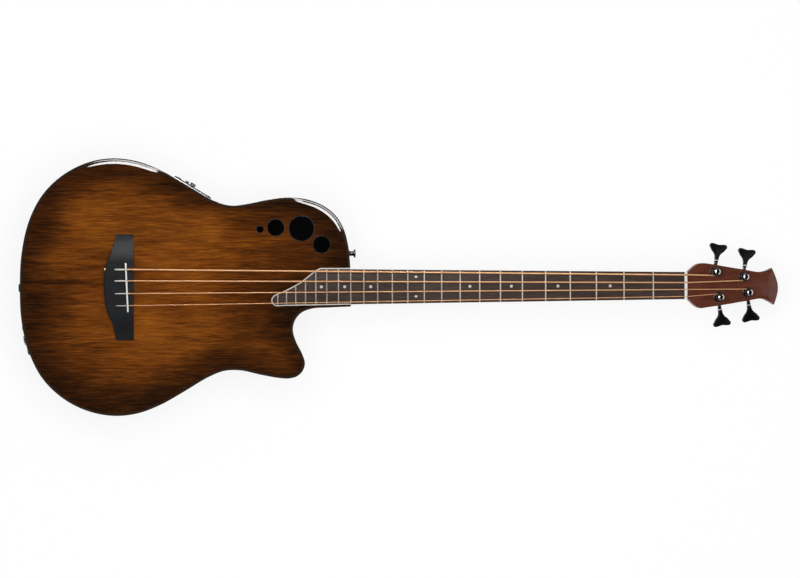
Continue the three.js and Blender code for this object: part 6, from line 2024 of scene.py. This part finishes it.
lead_y = LEAD_RADIUS * 3 - SADDLE_LENGTH / 2
lead_x = saddle_x(lead_y)
lead_ways = {
    "pickup_lead": [
        Vector((lead_x, lead_y, BRIDGE_FLOOR_Z + SADDLE_SLOT_FLOOR)),
        Vector((lead_x, lead_y, BOWL_DEPTH - BRACE_HEIGHT - 0.001)),
        *lead_way([(-0.638, -0.1, 0.746), (-0.58, 0.149, 0.661), (-0.551, 0.348, 0.678)]),
        *lead_end(-BATTERY_HEIGHT / 2, PREAMP_FRAME, preamp_back),
    ],
    "output_lead": [
        *lead_end(0, JACK_FRAME, -JACK_LENGTH - SEAT_GAP)[::-1],
        *lead_way([
            (-0.88, -0.338, 0.695), (-0.812, -0.1, 0.61), (-0.716, 0.249, 0.576), (-0.619, 0.448, 0.661),
        ]),
        *lead_end(BATTERY_HEIGHT / 2, PREAMP_FRAME, preamp_back),
    ],
}
for node, way in lead_ways.items():
    lead_path = curve_through([tuple(point) for point in way], 6)
    lead = new_piece(f"{node}_wire", tube(node, lead_path, LEAD_RADIUS, 14), lead_rubber)
    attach(lead, "instrument")
    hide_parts(node)

# Studio. A white floor under the guitar, soft even light from above and from all sides, and a
# camera that looks straight down from twenty metres.

FLOOR_Z = -0.0002
PAPER_GLOW = 0.84
PAPER_SHADES = (0.75, 0.2)
SKY_STRENGTHS = (0.02, 1.0)
CAMERA_PLACE = (0.33184, -0.00376, TOP_Z + 20)
CAMERA_TURN = math.radians(-0.21)
CAMERA_LENS = 576.3

floor_form = bmesh.new()
bmesh.ops.create_grid(floor_form, x_segments=2, y_segments=2, size=8)
paper = bpy.data.materials.new("white_paper")
paper.use_nodes = True
tree = paper.node_tree
tree.nodes.remove(tree.nodes["Principled BSDF"])
rays = wire(tree, "ShaderNodeLightPath").outputs
seen = reckon(tree, "MAXIMUM", rays["Is Camera Ray"], rays["Is Glossy Ray"])
seen = reckon(tree, "MAXIMUM", seen, rays["Is Transmission Ray"])
shine = wire(tree, "ShaderNodeEmission", {
    "Color": (1.0, 1.0, 1.0, 1.0), "Strength": reckon(tree, "MULTIPLY", seen, PAPER_GLOW),
})
shade = spread_over(tree, seen, 0.0, 1.0, *PAPER_SHADES)
matte = wire(tree, "ShaderNodeBsdfDiffuse", {
    "Color": wire(tree, "ShaderNodeCombineColor", {0: shade, 1: shade, 2: shade}).outputs[0],
})
both = wire(tree, "ShaderNodeAddShader", {0: shine.outputs[0], 1: matte.outputs[0]})
tree.links.new(both.outputs[0], tree.nodes["Material Output"].inputs["Surface"])
floor = new_piece("floor", write_mesh(floor_form, bpy.data.meshes.new("floor")), paper)
floor.location.z = FLOOR_Z

world = bpy.data.worlds.new("studio")
bpy.context.scene.world = world
world.use_nodes = True
tree = world.node_tree
upward = wire(tree, "ShaderNodeSeparateXYZ", {0: wire(tree, "ShaderNodeTexCoord").outputs["Generated"]})
from_zenith = reckon(tree, "SUBTRACT", 1.0, upward.outputs[2])
strength = spread_over(tree, reckon(tree, "POWER", from_zenith, 2.0), 0.0, 1.0, *SKY_STRENGTHS)
tree.links.new(strength, tree.nodes["Background"].inputs["Strength"])
tree.nodes["Background"].inputs["Color"].default_value = (1, 1, 1, 1)


def lamp(name, size, power, place, turn, soft):
    """An oval lamp. A soft one lights surfaces only, and the others show only in reflections."""
    light = bpy.data.lights.new(name, "AREA")
    light.shape = "ELLIPSE"
    light.size, light.size_y = size
    light.energy = power
    lamp_object = put(name, light)
    lamp_object.location = place
    lamp_object.rotation_euler = [math.radians(angle) for angle in turn]
    lamp_object.visible_camera = False
    lamp_object.visible_glossy = not soft
    lamp_object.visible_diffuse = soft


lamp("overhead", (3.0, 3.0), 82, (0.2, 0.1, 3.2), (0, 0, 0), True)
lamp("glint_lower", (0.30, 0.15), 2.45, (-0.088, 0.405, 0.62), (0, 0, 0), False)
lamp("glint_upper", (0.32, 0.15), 2.6, (0.335, 0.278, 0.62), (0, 0, -37), False)
lamp("glint_panel", (0.14, 0.16), 3.0, (0.126, 0.347, 0.62), (0, 0, -32), False)
lamp("glint_head", (0.5, 0.5), 0.8, (1.69, 0.05, 0.73), (0, 50, 0), False)
lamp("glint_posts", (0.8, 0.6), 4.5, (0.3, 0.0, 0.75), (0, -90, 0), False)

camera_data = bpy.data.cameras.new("camera")
camera_data.lens = CAMERA_LENS
camera_data.sensor_width = 36
camera_data.clip_end = 60
camera = put("camera", camera_data)
camera.location = CAMERA_PLACE
camera.rotation_euler = (0, 0, CAMERA_TURN)
bpy.context.scene.camera = camera
bpy.context.scene.view_settings.view_transform = "Standard"
